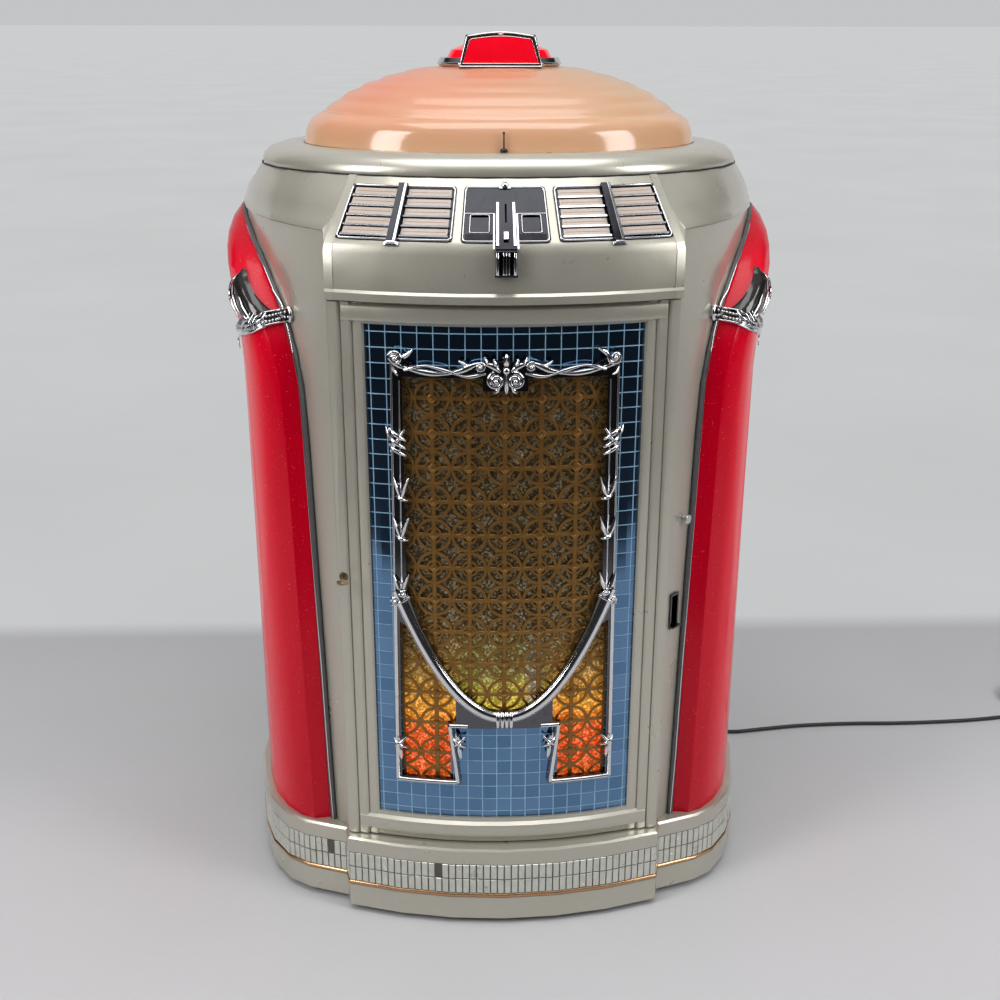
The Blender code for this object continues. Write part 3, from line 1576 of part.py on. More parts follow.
def add_key():
    """The lock's plug with the key left in it, its bow standing across the slot."""
    face = lock_face_y()
    key = rod(
        "door_key",
        (LOCK_X, face - LOCK_RADIUS / 4, LOCK_Z),
        (LOCK_X, face + LOCK_LENGTH, LOCK_Z),
        LOCK_RADIUS,
        "bronze",
        12,
    )
    reach = face - KEY_SHAFT_LENGTH
    shaft = rod("key shaft", (LOCK_X, face, LOCK_Z), (LOCK_X, reach, LOCK_Z), KEY_SHAFT_RADIUS, sides=10)
    half = KEY_BOW_THICKNESS / 2
    middle = reach - KEY_BOW_RADIUS * KEY_BOW_SHARE
    bow = rod(
        "key bow",
        (LOCK_X, middle, LOCK_Z - half),
        (LOCK_X, middle, LOCK_Z + half),
        KEY_BOW_RADIUS,
        sides=12,
    )
    hole = rod(
        "key bow hole",
        (LOCK_X, middle, LOCK_Z - OVERRUN),
        (LOCK_X, middle, LOCK_Z + OVERRUN),
        KEY_BOW_RADIUS * KEY_BOW_HOLE_SHARE,
        sides=8,
    )
    join(key, shaft, bow)
    cut(key, hole)
    return key


def shield_edge(offset):
    """The shield bar's line, left to right, moved towards the inside of the shield by an offset."""
    points = []
    drop = SHIELD_SPRING_Z - SHIELD_TIP_Z
    for step in range(2 * SHIELD_POINTS + 1):
        share = step / SHIELD_POINTS - 1
        slope = math.copysign(SHIELD_FULLNESS * drop / SHIELD_HALF_WIDTH * abs(share) ** (SHIELD_FULLNESS - 1), share)
        normal = Vector((-slope, 1)).normalized()
        x = SHIELD_HALF_WIDTH * share + normal.x * offset
        z = SHIELD_TIP_Z + drop * abs(share) ** SHIELD_FULLNESS + normal.y * offset
        points.append((x, z, share))
    return points


def grille_half_width(z):
    share = (z - GRILLE_BOTTOM_Z) / (GRILLE_TOP_Z - GRILLE_BOTTOM_Z)
    return GRILLE_FOOT_HALF_WIDTH + (GRILLE_TOP_HALF_WIDTH - GRILLE_FOOT_HALF_WIDTH) * share


def leg_opening(side):
    """The opening between a leg's bars and the shield bar."""
    foot = GRILLE_BOTTOM_Z + GRILLE_BAR
    top = LEG_TOP_Z + GRILLE_BAR
    edge = [
        (x, z)
        for x, z, share in shield_edge(-SHIELD_BAR / 2)
        if -SHIELD_TURN_SHARE < share < -CROTCH_SHARE
    ]
    points = [(-grille_half_width(foot) + GRILLE_BAR, foot)]
    points.append((-grille_half_width(edge[0][1]) + GRILLE_BAR, edge[0][1] + SHIELD_BAR / 2))
    points += edge + [(edge[-1][0], top), (-LEG_INNER_HEAD - GRILLE_BAR, top), (-LEG_INNER_FOOT - GRILLE_BAR, foot)]
    return [(side * -x, z) for x, z in points]


def grille_opening(inset):
    """The mirror panel's opening behind the grille: a tall field on two legs."""
    outer = GRILLE_TOP_HALF_WIDTH - inset
    inner = LEG_INNER_HEAD + inset
    low = GRILLE_BOTTOM_Z + inset
    crotch = LEG_TOP_Z + inset
    top = GRILLE_TOP_Z - inset
    points = [(-outer, low), (-inner, low), (-inner, crotch), (inner, crotch), (inner, low), (outer, low)]
    return points + [(outer, top), (-outer, top)]


def grille_outline():
    """The outside of the chrome grille, with its crest."""
    points = [(-GRILLE_FOOT_HALF_WIDTH, GRILLE_BOTTOM_Z), (-LEG_INNER_FOOT, GRILLE_BOTTOM_Z)]
    points += [(-LEG_INNER_HEAD, LEG_TOP_Z), (LEG_INNER_HEAD, LEG_TOP_Z)]
    points += [(LEG_INNER_FOOT, GRILLE_BOTTOM_Z), (GRILLE_FOOT_HALF_WIDTH, GRILLE_BOTTOM_Z)]
    crest = [(GRILLE_TOP_HALF_WIDTH * share, GRILLE_TOP_Z + GRILLE_CREST_RISE * rise) for share, rise in GRILLE_CREST_SHARES]
    return points + crest[::-1] + [(-x, z) for x, z in crest[1:]]


def add_panels():
    """Mirror panel, pierced screen and chrome grille, all bent to the door's bow."""
    half = PANEL_HALF_WIDTH
    outline = [(-half, PANEL_BOTTOM_Z), (half, PANEL_BOTTOM_Z), (half, PANEL_TOP_Z), (-half, PANEL_TOP_Z)]
    inset = GRILLE_BAR / 2
    mirror = plate("mirror_panel", [outline, grille_opening(inset)], 0, MIRROR_THICKNESS, "mirror_blue")
    bent_to_door(mirror, MIRROR_DEPTH + MIRROR_THICKNESS)

    shape = grille_opening(inset - SCREEN_OVERLAP)
    screen = plate("grille_screen", [shape] + star_openings(), 0, SCREEN_THICKNESS, "gold")
    bent_to_door(screen, mirror_back_depth() + SCREEN_THICKNESS)

    side = GRILLE_TOP_HALF_WIDTH - SIDE_BAR
    head = GRILLE_TOP_Z - GRILLE_HEAD_BAR
    window = [(x, z) for x, z, share in shield_edge(SHIELD_BAR / 2) if abs(share) < SHIELD_TURN_SHARE]
    window += [(side, SHIELD_SPRING_Z), (side, head), (-side, head), (-side, SHIELD_SPRING_Z)]
    frame = plate(
        "grille_frame", [grille_outline(), window, leg_opening(-1), leg_opening(1)], 0, GRILLE_THICKNESS, "chrome"
    )
    low, high = GRILLE_THICKNESS * BOSS_ROOT_SHARE, GRILLE_THICKNESS * BOSS_RISE_SHARE
    for end in (-1, 1):
        x = end * SCROLL_X
        boss = rod(
            f"scroll {end}",
            (x, SCROLL_Z, low),
            (x, SCROLL_Z, high),
            SCROLL_RADIUS,
            sides=16,
            end_radius=SCROLL_RADIUS * SCROLL_TOP_SHARE,
        )
        join(frame, boss)
    crest = block(
        "crest",
        (-CREST_HALF_WIDTH, CREST_Z - CREST_HEIGHT / 2, low),
        (CREST_HALF_WIDTH, CREST_Z + CREST_HEIGHT / 2, high),
    )
    join(frame, crest)
    return mirror, screen, bent_to_door(baked(frame, "chrome"), MIRROR_DEPTH - GAP)


def star_openings():
    """Four-pointed openings at the cell centres of the screen's grid."""
    stars = []
    outer = GRILLE_TOP_HALF_WIDTH
    rows = int((GRILLE_TOP_Z - GRILLE_BOTTOM_Z) / SCREEN_PITCH)
    for row in range(rows):
        z = GRILLE_TOP_Z - SCREEN_PITCH / 2 - row * SCREEN_PITCH
        for column in range(-3, 3):
            x = (column + 1 / 2) * SCREEN_PITCH
            inside = abs(x) + STAR_REACH < outer and z - STAR_REACH > GRILLE_BOTTOM_Z
            if z - STAR_REACH < LEG_TOP_Z + GRILLE_BAR:
                inside = inside and abs(x) - STAR_REACH > LEG_INNER_HEAD
            if inside:
                star = []
                for corner in range(4):
                    angle = math.pi / 2 * corner
                    star.append((x + STAR_REACH * math.cos(angle), z + STAR_REACH * math.sin(angle)))
                stars.append(star)
    return stars


def add_lid():
    """Collar, dome and crown, which lift together on the rear hinge."""
    centre = Vector((0, LID_CENTRE_Y, 0))
    depth_share = LID_HALF_DEPTH / LID_HALF_WIDTH
    outer = []
    for inward, up in COLLAR_OUTER_SHARES:
        outer.append((LID_HALF_WIDTH - COLLAR_WIDTH * inward, LID_SEAM_Z + COLLAR_RISE * up))
    inner = []
    for inward, up in COLLAR_OUTER_SHARES[-2:0:-2]:
        inner.append(
            (
                LID_HALF_WIDTH - COLLAR_SHEET * (1 - up) - COLLAR_WIDTH * inward,
                max(LID_SEAM_Z + COLLAR_RISE * up - COLLAR_SHEET, LID_SEAM_Z),
            )
        )
    profile = outer + [(outer[-1][0], outer[-1][1] - COLLAR_SHEET)] + inner[:-1]
    profile.append((LID_HALF_WIDTH - COLLAR_SHEET, LID_SEAM_Z))
    collar = turned("lid_collar", profile, COLLAR_STEPS, centre, depth_share, "champagne")
    for side in (-1, 1):
        join(
            collar,
            *lid_knuckle(f"collar knuckle {side}", side * (LID_KNUCKLE_X - LID_KNUCKLE_LENGTH - GAP), 1),
        )

    dome_foot = LID_SEAM_Z + COLLAR_RISE + DOME_SEAT_GAP - COLLAR_SHEET / 4
    shell = []
    for radius, height in zip(DOME_RADIUS_SHARES, DOME_HEIGHT_SHARES):
        shell.append((DOME_HALF_WIDTH * radius, dome_foot + DOME_HEIGHT * height))
    shell.append((DOME_TOP_HOLE, shell[-1][1]))
    hollow = [(DOME_TOP_HOLE, shell[-1][1] - DOME_SHEET)]
    for radius, height in reversed(shell[1:-1:3]):
        hollow.append((radius - DOME_SHEET, height - DOME_SHEET))
    hollow.append((shell[0][0] - DOME_SHEET, dome_foot))
    dome = turned("dome", shell + hollow, DOME_STEPS, centre, depth_share, "amber_plastic")

    ring_foot = dome_foot + DOME_HEIGHT + GAP
    ring = turned(
        "crown_base",
        [
            (CROWN_RADIUS, ring_foot),
            (CROWN_RADIUS + CROWN_RING_WIDTH / 4, ring_foot + CROWN_RING_HEIGHT / 3),
            (CROWN_RADIUS - CROWN_RING_WIDTH / 8, ring_foot + CROWN_RING_HEIGHT),
            (CROWN_RADIUS - CROWN_RING_WIDTH, ring_foot + CROWN_RING_HEIGHT),
            (CROWN_RADIUS - CROWN_RING_WIDTH, ring_foot),
        ],
        CROWN_STEPS,
        centre,
        depth_share,
        "chrome",
    )
    join(ring, sign_wedge("sign frame", 0, ring_foot))
    cut(ring, sign_wedge("sign hollow", SIGN_WALL, ring_foot))
    lamp = turned(
        "crown_lamp",
        [
            (LAMP_FOOT_RADIUS, ring_foot + GAP),
            (LAMP_FOOT_RADIUS * LAMP_RADIUS_SHARES[0], ring_foot + LAMP_HEIGHT * LAMP_HEIGHT_SHARES[0]),
            (LAMP_FOOT_RADIUS * LAMP_RADIUS_SHARES[1], ring_foot + LAMP_HEIGHT * LAMP_HEIGHT_SHARES[1]),
            (LAMP_TOP_RADIUS, ring_foot + LAMP_HEIGHT),
            (LAMP_SHEET, ring_foot + LAMP_HEIGHT),
            (LAMP_SHEET, ring_foot + LAMP_HEIGHT - LAMP_SHEET),
            (LAMP_TOP_RADIUS - LAMP_SHEET, ring_foot + LAMP_HEIGHT - LAMP_SHEET),
            (LAMP_FOOT_RADIUS * LAMP_RADIUS_SHARES[1] - LAMP_SHEET, ring_foot + LAMP_HEIGHT * LAMP_HEIGHT_SHARES[2]),
            (LAMP_FOOT_RADIUS - LAMP_SHEET, ring_foot + GAP),
        ],
        CROWN_STEPS,
        centre,
        depth_share,
        "red_plastic",
    )
    cut(lamp, sign_wedge("lamp notch", -BAR_CLEARANCE, ring_foot))
    return collar, dome, ring, lamp


def sign_wedge(name, inset, foot):
    """The crown's sign box, or its hollow, which opens at the back, or the notch round it."""
    front = LID_CENTRE_Y - SIGN_FRONT + max(inset, 0)
    back = front + SIGN_DEPTH + (OVERRUN if inset > 0 else -inset)
    if inset < 0:
        front += inset
    low = foot + (max(inset, 0) if inset >= 0 else inset)
    low = low if inset > 0 else foot + inset
    shoulder = foot + SIGN_SHOULDER - inset
    peak = SIGN_PEAK_Z - inset
    wide = SIGN_FOOT_HALF_WIDTH - inset
    narrow = SIGN_TOP_HALF_WIDTH - inset
    outline = [(-wide, low), (wide, low), (narrow, shoulder), (0, peak), (-narrow, shoulder)]
    sections = [[(x, front, z) for x, z in outline], [(x, back, z) for x, z in outline]]
    return smooth(loft(name, sections), 20)


def lid_knuckle(name, x, side):
    """A hinge knuckle on the lid's axis with the leaf that joins it to the collar or the deck."""
    y, z = lid_axis()
    half = LID_KNUCKLE_LENGTH / 2 - GAP
    barrel = rod(f"{name} barrel", (x - half, y, z), (x + half, y, z), LID_KNUCKLE_RADIUS, sides=12)
    if side > 0:
        low, high = LID_SEAM_Z + GAP, LID_SEAM_Z + LID_LEAF * LID_LEAF_SHARE
    else:
        low, high = z - LID_LEAF, LID_SEAM_Z - 2 * GAP
    leaf = block(f"{name} leaf", (x - half, y - LID_AXIS_OFFSET - LID_LEAF, low), (x + half, y, high))
    return barrel, leaf


def lid_axis():
    return LID_CENTRE_Y + LID_HALF_DEPTH + LID_AXIS_OFFSET, LID_SEAM_Z


def trim_angle(height):
    """The angle on the barrel of the trim's middle line at a height."""
    share = (height - SKIRT_TOP_Z) / (PILASTER_TOP_Z - SKIRT_TOP_Z)
    share = min(max(share, 0), 1)
    x = TRIM_FOOT_HALF_WIDTH + TRIM_LEAN * share
    sweep_share = max(share - TRIM_SWEEP_START_SHARE, 0) / (1 - TRIM_SWEEP_START_SHARE)
    x += TRIM_SWEEP * sweep_share**TRIM_SWEEP_POWER
    return math.asin(min(x / BARREL_HALF_WIDTH, TRIM_LIMIT_SHARE))


def along_wall(angle, distance):
    """An angle moved along the wall by a distance."""
    rate = math.hypot(BARREL_HALF_WIDTH * math.cos(angle), BARREL_FRONT_REACH * math.sin(angle))
    return angle + distance / rate


def pilaster_levels():
    foot = SKIRT_TOP_Z + GAP
    return [foot + (PILASTER_TOP_Z - foot) * share for share in PILASTER_LEVEL_SHARES]


def pilaster_bulge(angle, growth, first, last):
    """How far the pilaster stands off the wall at an angle."""
    bulge = PILASTER_DEPTH * share_between(PILASTER_BULGE_SHARES, math.degrees(angle)) + growth

    def rise(distance):
        share = 1 - min(max(distance / PILASTER_EDGE_ANGLE, 0), 1)
        return math.sqrt(1 - share**2)

    return PILASTER_EDGE + max(bulge - PILASTER_EDGE, 0) * rise(angle - first) * rise(last - angle)


def pilaster_section(height, growth, side):
    first = along_wall(trim_angle(height), TRIM_WIDTH / 2 + GAP)
    last = PILASTER_REAR_ANGLE
    angles = []
    for step in range(PILASTER_COLUMNS + 1):
        share = step / PILASTER_COLUMNS
        angles.append(first + (last - first) * (share - PILASTER_EASE_SHARE * math.sin(2 * math.pi * share)))
    section = [barrel_point(first, GAP, height, side)]
    for angle in angles:
        section.append(barrel_point(angle, pilaster_bulge(angle, growth, first, last), height, side))
    section.append(barrel_point(last, GAP, height, side))
    inner_first = along_wall(first, PILASTER_SHEET)
    inner_last = along_wall(last, -PILASTER_SHEET)
    section.append(barrel_point(inner_last, GAP, height, side))
    for angle in reversed(angles[2:-2:2]):
        inner = min(max(angle, inner_first), inner_last)
        bulge = pilaster_bulge(angle, growth, first, last) - PILASTER_SHEET
        section.append(barrel_point(inner, max(bulge, 2 * GAP), height, side))
    section.append(barrel_point(inner_first, GAP, height, side))
    return section


def add_pilasters():
    for name, side in (("left", -1), ("right", 1)):
        sections = []
        for height, share in zip(pilaster_levels(), SHOULDER_GROWTH_SHARES):
            sections.append(pilaster_section(height, SHOULDER_GROWTH * share, side))
        loft(f"pilaster_{name}", sections, "red_plastic")

        trim = []
        half = TRIM_WIDTH / 2
        for height in pilaster_levels():
            angle = trim_angle(height)
            flat = half * TRIM_FLAT_SHARE
            offsets = (
                (-half, GAP),
                (-half, TRIM_HEIGHT / 2),
                (-flat, TRIM_HEIGHT),
                (flat, TRIM_HEIGHT),
                (half, TRIM_HEIGHT / 2),
                (half, GAP),
            )
            trim.append([barrel_point(along_wall(angle, along), out, height, side) for along, out in offsets])
        loft(f"pilaster_trim_{name}", trim, "grey_trim")


def growth_at(height):
    levels = pilaster_levels()
    table = list(zip(levels, SHOULDER_GROWTH_SHARES))
    return SHOULDER_GROWTH * share_between(table, height)


def strap_out(angle, height):
    first = along_wall(trim_angle(height), TRIM_WIDTH / 2 + GAP)
    if angle <= first:
        return TRIM_HEIGHT
    return max(pilaster_bulge(angle, growth_at(height), first, PILASTER_REAR_ANGLE), TRIM_HEIGHT)


def add_ornaments():
    for name, side in (("left", -1), ("right", 1)):
        sections = []
        start = along_wall(trim_angle(STRAP_FRONT_Z), -TRIM_WIDTH)
        for step in range(STRAP_COLUMNS + 1):
            share = step / STRAP_COLUMNS
            angle = start + (STRAP_REAR_ANGLE - start) * share
            middle = STRAP_FRONT_Z + (STRAP_REAR_Z - STRAP_FRONT_Z) * share
            low, high = middle - STRAP_HEIGHT / 2, middle + STRAP_HEIGHT / 2
            out_low = strap_out(angle, low) + 3 * GAP
            out_high = strap_out(angle, high) + 3 * GAP
            sections.append(
                [
                    barrel_point(angle, out_low, low, side),
                    barrel_point(angle, out_high, high, side),
                    barrel_point(angle, out_high + STRAP_THICKNESS, high, side),
                    barrel_point(angle, out_low + STRAP_THICKNESS, low, side),
                ]
            )
        strap = loft(f"ornament_{name}", sections, "chrome")
        middle = STRAP_FRONT_Z + (STRAP_REAR_Z - STRAP_FRONT_Z) * HORN_PLACE_SHARE
        root_out = strap_out(HORN_ANGLE, middle) + STRAP_THICKNESS + HORN_RADIUS / 2
        places = []
        radii = []
        for share, drop, lift in HORN_SHARES:
            rise = HORN_HEIGHT * lift - HORN_DROP * drop
            height = middle + rise
            lean = HORN_OUT * share * share * (1 if share > 0 else 0)
            surface = strap_out(HORN_ANGLE, height) + STRAP_THICKNESS + HORN_RADIUS
            places.append(barrel_point(HORN_ANGLE, max(surface, root_out) + lean, height, side))
            radii.append(max(1 - abs(share), HORN_TIP_SHARE))
        horn = baked(tube(f"horn {name}", places, HORN_RADIUS, roundness=1, radii=radii))
        join(strap, horn)


def add_wall_controls():
    frame = wall_frame(BUTTON_ANGLE, BUTTON_Z)
    button = rod(
        "cancel_button",
        frame @ Vector((0, 0, -WALL - BUTTON_TAIL + OVERRUN)),
        frame @ Vector((0, 0, BUTTON_PROUD)),
        BUTTON_RADIUS,
        "chrome",
        16,
    )
    knob = rod(
        "button head",
        frame @ Vector((0, 0, BUTTON_TRAVEL + GAP)),
        frame @ Vector((0, 0, BUTTON_PROUD)),
        BUTTON_BEZEL_RADIUS,
        sides=16,
    )
    join(button, knob)

    half_width, half_height = RETURN_WIDTH / 2, RETURN_HEIGHT / 2
    cup = wall_box(
        "coin_return_cup",
        RETURN_ANGLE,
        RETURN_Z,
        half_width - RETURN_WALL,
        half_height - RETURN_WALL,
        -RETURN_CUP_DEPTH + 2 * GAP,
        RETURN_FLANGE,
        "chrome",
    )
    flange = wall_box(
        "return flange", RETURN_ANGLE, RETURN_Z, half_width, half_height, 2 * GAP, RETURN_FLANGE
    )
    lip = wall_box(
        "return lip",
        RETURN_ANGLE,
        RETURN_Z - half_height * RETURN_LIP_SHARE,
        half_width,
        RETURN_WALL,
        2 * GAP,
        RETURN_FLANGE + RETURN_LIP,
    )
    join(cup, flange, lip)
    cut(
        cup,
        wall_box(
            "return pocket",
            RETURN_ANGLE,
            RETURN_Z + RETURN_WALL,
            half_width - 2 * RETURN_WALL,
            half_height - 4 * RETURN_WALL,
            -RETURN_CUP_DEPTH + RETURN_WALL,
            OVERRUN + RETURN_LIP,
        ),
    )


def add_back_panel():
    margin = BACK_PANEL_MARGIN - 2 * GAP
    panel = block(
        "back_panel",
        (-BACK_OPENING_HALF_WIDTH - margin, BARREL_BACK_Y - BACK_PANEL_THICKNESS, BACK_OPENING_BOTTOM_Z - margin),
        (BACK_OPENING_HALF_WIDTH + margin, BARREL_BACK_Y, BACK_OPENING_TOP_Z + margin),
        "fibreboard",
    )
    gland = rod(
        "cord gland",
        (GLAND_X, BARREL_BACK_Y - BACK_PANEL_THICKNESS / 2, GLAND_Z),
        (GLAND_X, BARREL_BACK_Y + GLAND_LENGTH, GLAND_Z),
        GLAND_RADIUS,
        sides=16,
        end_radius=GLAND_RADIUS * GLAND_END_SHARE,
    )
    join(panel, gland)
    for index in range(VENT_SLOTS):
        z = VENT_TOP_Z - index * VENT_PITCH
        vent = block(
            f"vent {index}",
            (-VENT_HALF_WIDTH, BARREL_BACK_Y - BACK_PANEL_THICKNESS - OVERRUN, z - VENT_HEIGHT / 2),
            (VENT_HALF_WIDTH, BARREL_BACK_Y + OVERRUN, z + VENT_HEIGHT / 2),
        )
        cut(panel, vent)


def add_mechanism():
    """Shelf, turntable, tone arm and record magazine under the lid."""
    shelf = block(
        "changer_deck",
        (-SHELF_HALF_WIDTH, SHELF_FRONT_Y, SHELF_Z),
        (SHELF_HALF_WIDTH, SHELF_BACK_Y, SHELF_Z + SHELF_THICKNESS),
        "dark_steel",
    )
    top = SHELF_Z + SHELF_THICKNESS
    hub = rod(
        "hub",
        (TURNTABLE_X, TURNTABLE_Y, SHELF_Z + SHELF_THICKNESS / 2),
        (TURNTABLE_X, TURNTABLE_Y, top + HUB_HEIGHT),
        HUB_RADIUS,
    )
    post = rod(
        "arm post",
        (ARM_X, ARM_Y, SHELF_Z + SHELF_THICKNESS / 2),
        (ARM_X, ARM_Y, top + ARM_POST_HEIGHT),
        ARM_POST_RADIUS,
        sides=16,
    )
    join(shelf, hub, post)
    for side in (-1, 1):
        y = MAGAZINE_Y + side * MAGAZINE_FOOT_HALF_WIDTH * MAGAZINE_RAIL_SHARE
        rail = block(
            f"magazine rail {side}",
            (MAGAZINE_X - MAGAZINE_RAIL_LENGTH / 2, y - MAGAZINE_RAIL_WIDTH / 2, SHELF_Z + SHELF_THICKNESS / 2),
            (MAGAZINE_X + MAGAZINE_RAIL_LENGTH / 2, y + MAGAZINE_RAIL_WIDTH / 2, top + MAGAZINE_RAIL_HEIGHT),
        )
        join(shelf, rail)

    platter_foot = top + HUB_HEIGHT + GAP
    platter = rod(
        "turntable",
        (TURNTABLE_X, TURNTABLE_Y, platter_foot),
        (TURNTABLE_X, TURNTABLE_Y, platter_foot + TURNTABLE_THICKNESS),
        TURNTABLE_RADIUS,
        "dark_steel",
        32,
    )
    spindle = rod(
        "spindle",
        (TURNTABLE_X, TURNTABLE_Y, platter_foot + TURNTABLE_THICKNESS / 2),
        (TURNTABLE_X, TURNTABLE_Y, platter_foot + TURNTABLE_THICKNESS + SPINDLE_HEIGHT),
        SPINDLE_RADIUS,
        sides=12,
    )
    join(platter, spindle)

    pivot_z = top + ARM_POST_HEIGHT + GAP
    base = rod(
        "tonearm",
        (ARM_X, ARM_Y, pivot_z),
        (ARM_X, ARM_Y, pivot_z + 3 * ARM_TUBE_RADIUS),
        ARM_POST_RADIUS,
        "chrome",
        16,
    )
    direction = Vector((math.cos(ARM_REST_ANGLE), math.sin(ARM_REST_ANGLE), 0))
    middle = Vector((ARM_X, ARM_Y, pivot_z + ARM_TUBE_RADIUS + ARM_TUBE_RADIUS / 2))
    end = middle + direction * ARM_LENGTH
    arm = rod("arm tube", middle, end, ARM_TUBE_RADIUS, sides=12)
    head = block(
        "pickup head",
        (-ARM_HEAD_LENGTH / 2, -ARM_HEAD_WIDTH / 2, -ARM_HEAD_HEIGHT / 2),
        (ARM_HEAD_LENGTH / 2, ARM_HEAD_WIDTH / 2, ARM_HEAD_HEIGHT / 2),
    )
    head.location = end
    head.rotation_euler.z = ARM_REST_ANGLE
    join(base, arm, head)

    foot_z = top + MAGAZINE_RAIL_HEIGHT + GAP
    half = MAGAZINE_FOOT_HALF_WIDTH
    magazine = block(
        "record_magazine",
        (MAGAZINE_X - half, MAGAZINE_Y - half, foot_z),
        (MAGAZINE_X + half, MAGAZINE_Y + half, foot_z + MAGAZINE_FOOT_HEIGHT),
        "shellac",
    )
    stack = foot_z + MAGAZINE_FOOT_HEIGHT + RECORD_COUNT * RECORD_PITCH
    core = rod(
        "magazine core",
        (MAGAZINE_X, MAGAZINE_Y, foot_z + MAGAZINE_FOOT_HEIGHT / 2),
        (MAGAZINE_X, MAGAZINE_Y, stack),
        MAGAZINE_CORE_RADIUS,
        sides=8,
    )
    join(magazine, core)
    for index in range(RECORD_COUNT):
        z = foot_z + MAGAZINE_FOOT_HEIGHT + (index + 1 / 2) * RECORD_PITCH
        record = rod(
            f"record {index}",
            (MAGAZINE_X, MAGAZINE_Y, z),
            (MAGAZINE_X, MAGAZINE_Y, z + RECORD_THICKNESS),
            RECORD_RADIUS,
            sides=RECORD_SIDES,
        )
        join(magazine, record)


def add_sound():
    """Amplifier and loudspeaker, which stand on the base board."""
    floor = BASE_BOARD_Z + BASE_BOARD + GAP
    chassis = block(
        "amplifier",
        (-AMPLIFIER_WIDTH / 2, AMPLIFIER_Y - AMPLIFIER_DEPTH / 2, floor),
        (AMPLIFIER_WIDTH / 2, AMPLIFIER_Y + AMPLIFIER_DEPTH / 2, floor + AMPLIFIER_HEIGHT),
        "dark_steel",
    )
    top = floor + AMPLIFIER_HEIGHT
    for index in range(VALVE_COUNT):
        x = (index - 1) * VALVE_PITCH
        valve = rod(
            f"valve {index}",
            (x, AMPLIFIER_Y, top - OVERRUN),
            (x, AMPLIFIER_Y, top + VALVE_HEIGHT),
            VALVE_RADIUS,
            sides=SMALL_SIDES,
            end_radius=VALVE_RADIUS * VALVE_TIP_SHARE,
        )
        join(chassis, valve)
    side = AMPLIFIER_WIDTH / 2 - TRANSFORMER_SIZE * TRANSFORMER_PLACE_SHARE
    transformer = block(
        "transformer",
        (-side - TRANSFORMER_SIZE / 2, AMPLIFIER_Y - TRANSFORMER_SIZE / 2, top - OVERRUN),
        (-side + TRANSFORMER_SIZE / 2, AMPLIFIER_Y + TRANSFORMER_SIZE / 2, top + TRANSFORMER_SIZE),
    )
    join(chassis, transformer)

    middle = floor + BAFFLE_HEIGHT / 2 + SPEAKER_MAGNET_DEPTH / 2
    back = BAFFLE_Y + BAFFLE_THICKNESS
    speaker = block(
        "speaker",
        (-BAFFLE_HALF_WIDTH, BAFFLE_Y, floor),
        (BAFFLE_HALF_WIDTH, back, floor + BAFFLE_HEIGHT),
        "paper_cone",
    )
    basket = rod(
        "speaker basket",
        (0, back - BAFFLE_THICKNESS / 2, middle),
        (0, back + SPEAKER_DEPTH, middle),
        SPEAKER_RADIUS * SPEAKER_RIM_SHARE,
        sides=SPEAKER_SIDES,
        end_radius=SPEAKER_MAGNET_RADIUS,
    )
    magnet = rod(
        "speaker magnet",
        (0, back + SPEAKER_DEPTH * MAGNET_ROOT_SHARE, middle),
        (0, back + SPEAKER_DEPTH + SPEAKER_MAGNET_DEPTH, middle),
        SPEAKER_MAGNET_RADIUS,
        sides=SMALL_SIDES,
    )
    join(speaker, basket, magnet)
    cone = rod(
        "speaker cone",
        (0, BAFFLE_Y - OVERRUN, middle),
        (0, back + SPEAKER_DEPTH * CONE_DEPTH_SHARE, middle),
        SPEAKER_RADIUS,
        sides=SPEAKER_SIDES,
        end_radius=SPEAKER_MAGNET_RADIUS * CONE_THROAT_SHARE,
    )
    cut(speaker, cone)


def smooth_curve(points, steps):
    """Points on a smooth curve through the given ones."""
    places = [Vector(point) for point in points]
    ends = [2 * places[0] - places[1]] + places + [2 * places[-1] - places[-2]]
    result = []
    for index in range(1, len(ends) - 2):
        before, start, end, after = ends[index - 1 : index + 3]
        for step in range(steps):
            share = step / steps
            result.append(
                (
                    2 * start
                    + (end - before) * share
                    + (2 * before - 5 * start + 4 * end - after) * share**2
                    + (3 * start - before - 3 * end + after) * share**3
                )
                / 2
            )
    result.append(places[-1])
    return result


def route_points():
    return smooth_curve(CORD_ROUTE, CORD_STEPS)


def coil_points():
    """The coil: a spiral in on the floor, a climb, a spiral out on top of it, and a tail to the plug."""
    end = Vector(CORD_ROUTE[-1])
    heading = end - Vector(CORD_ROUTE[-2])
    heading.z = 0
    heading.normalize()
    outer = COIL_MEAN_RADIUS + COIL_PITCH * COIL_TURNS / 4
    aside = Vector((-heading.y, heading.x, 0))
    first = end + heading * CORD_DIAMETER
    centre = first + aside * outer
    start = math.atan2(first.y - centre.y, first.x - centre.x)
    half = COIL_TURNS // 2
    points = [end]
    for step in range(COIL_TURNS * COIL_POINTS + 1):
        turn = step / COIL_POINTS
        inward = turn if turn <= half else COIL_TURNS - turn
        radius = outer - COIL_PITCH * inward
        climb = min(max(2 * (turn - half) + 1 / 2, 0), 1)
        angle = start + 2 * math.pi * turn
        place = Vector((radius * math.cos(angle), radius * math.sin(angle), COIL_LIFT * climb))
        points.append(place + Vector((centre.x, centre.y, end.z)))
    return points + tail_points(points[-1], (points[-1] - points[-2]).normalized())


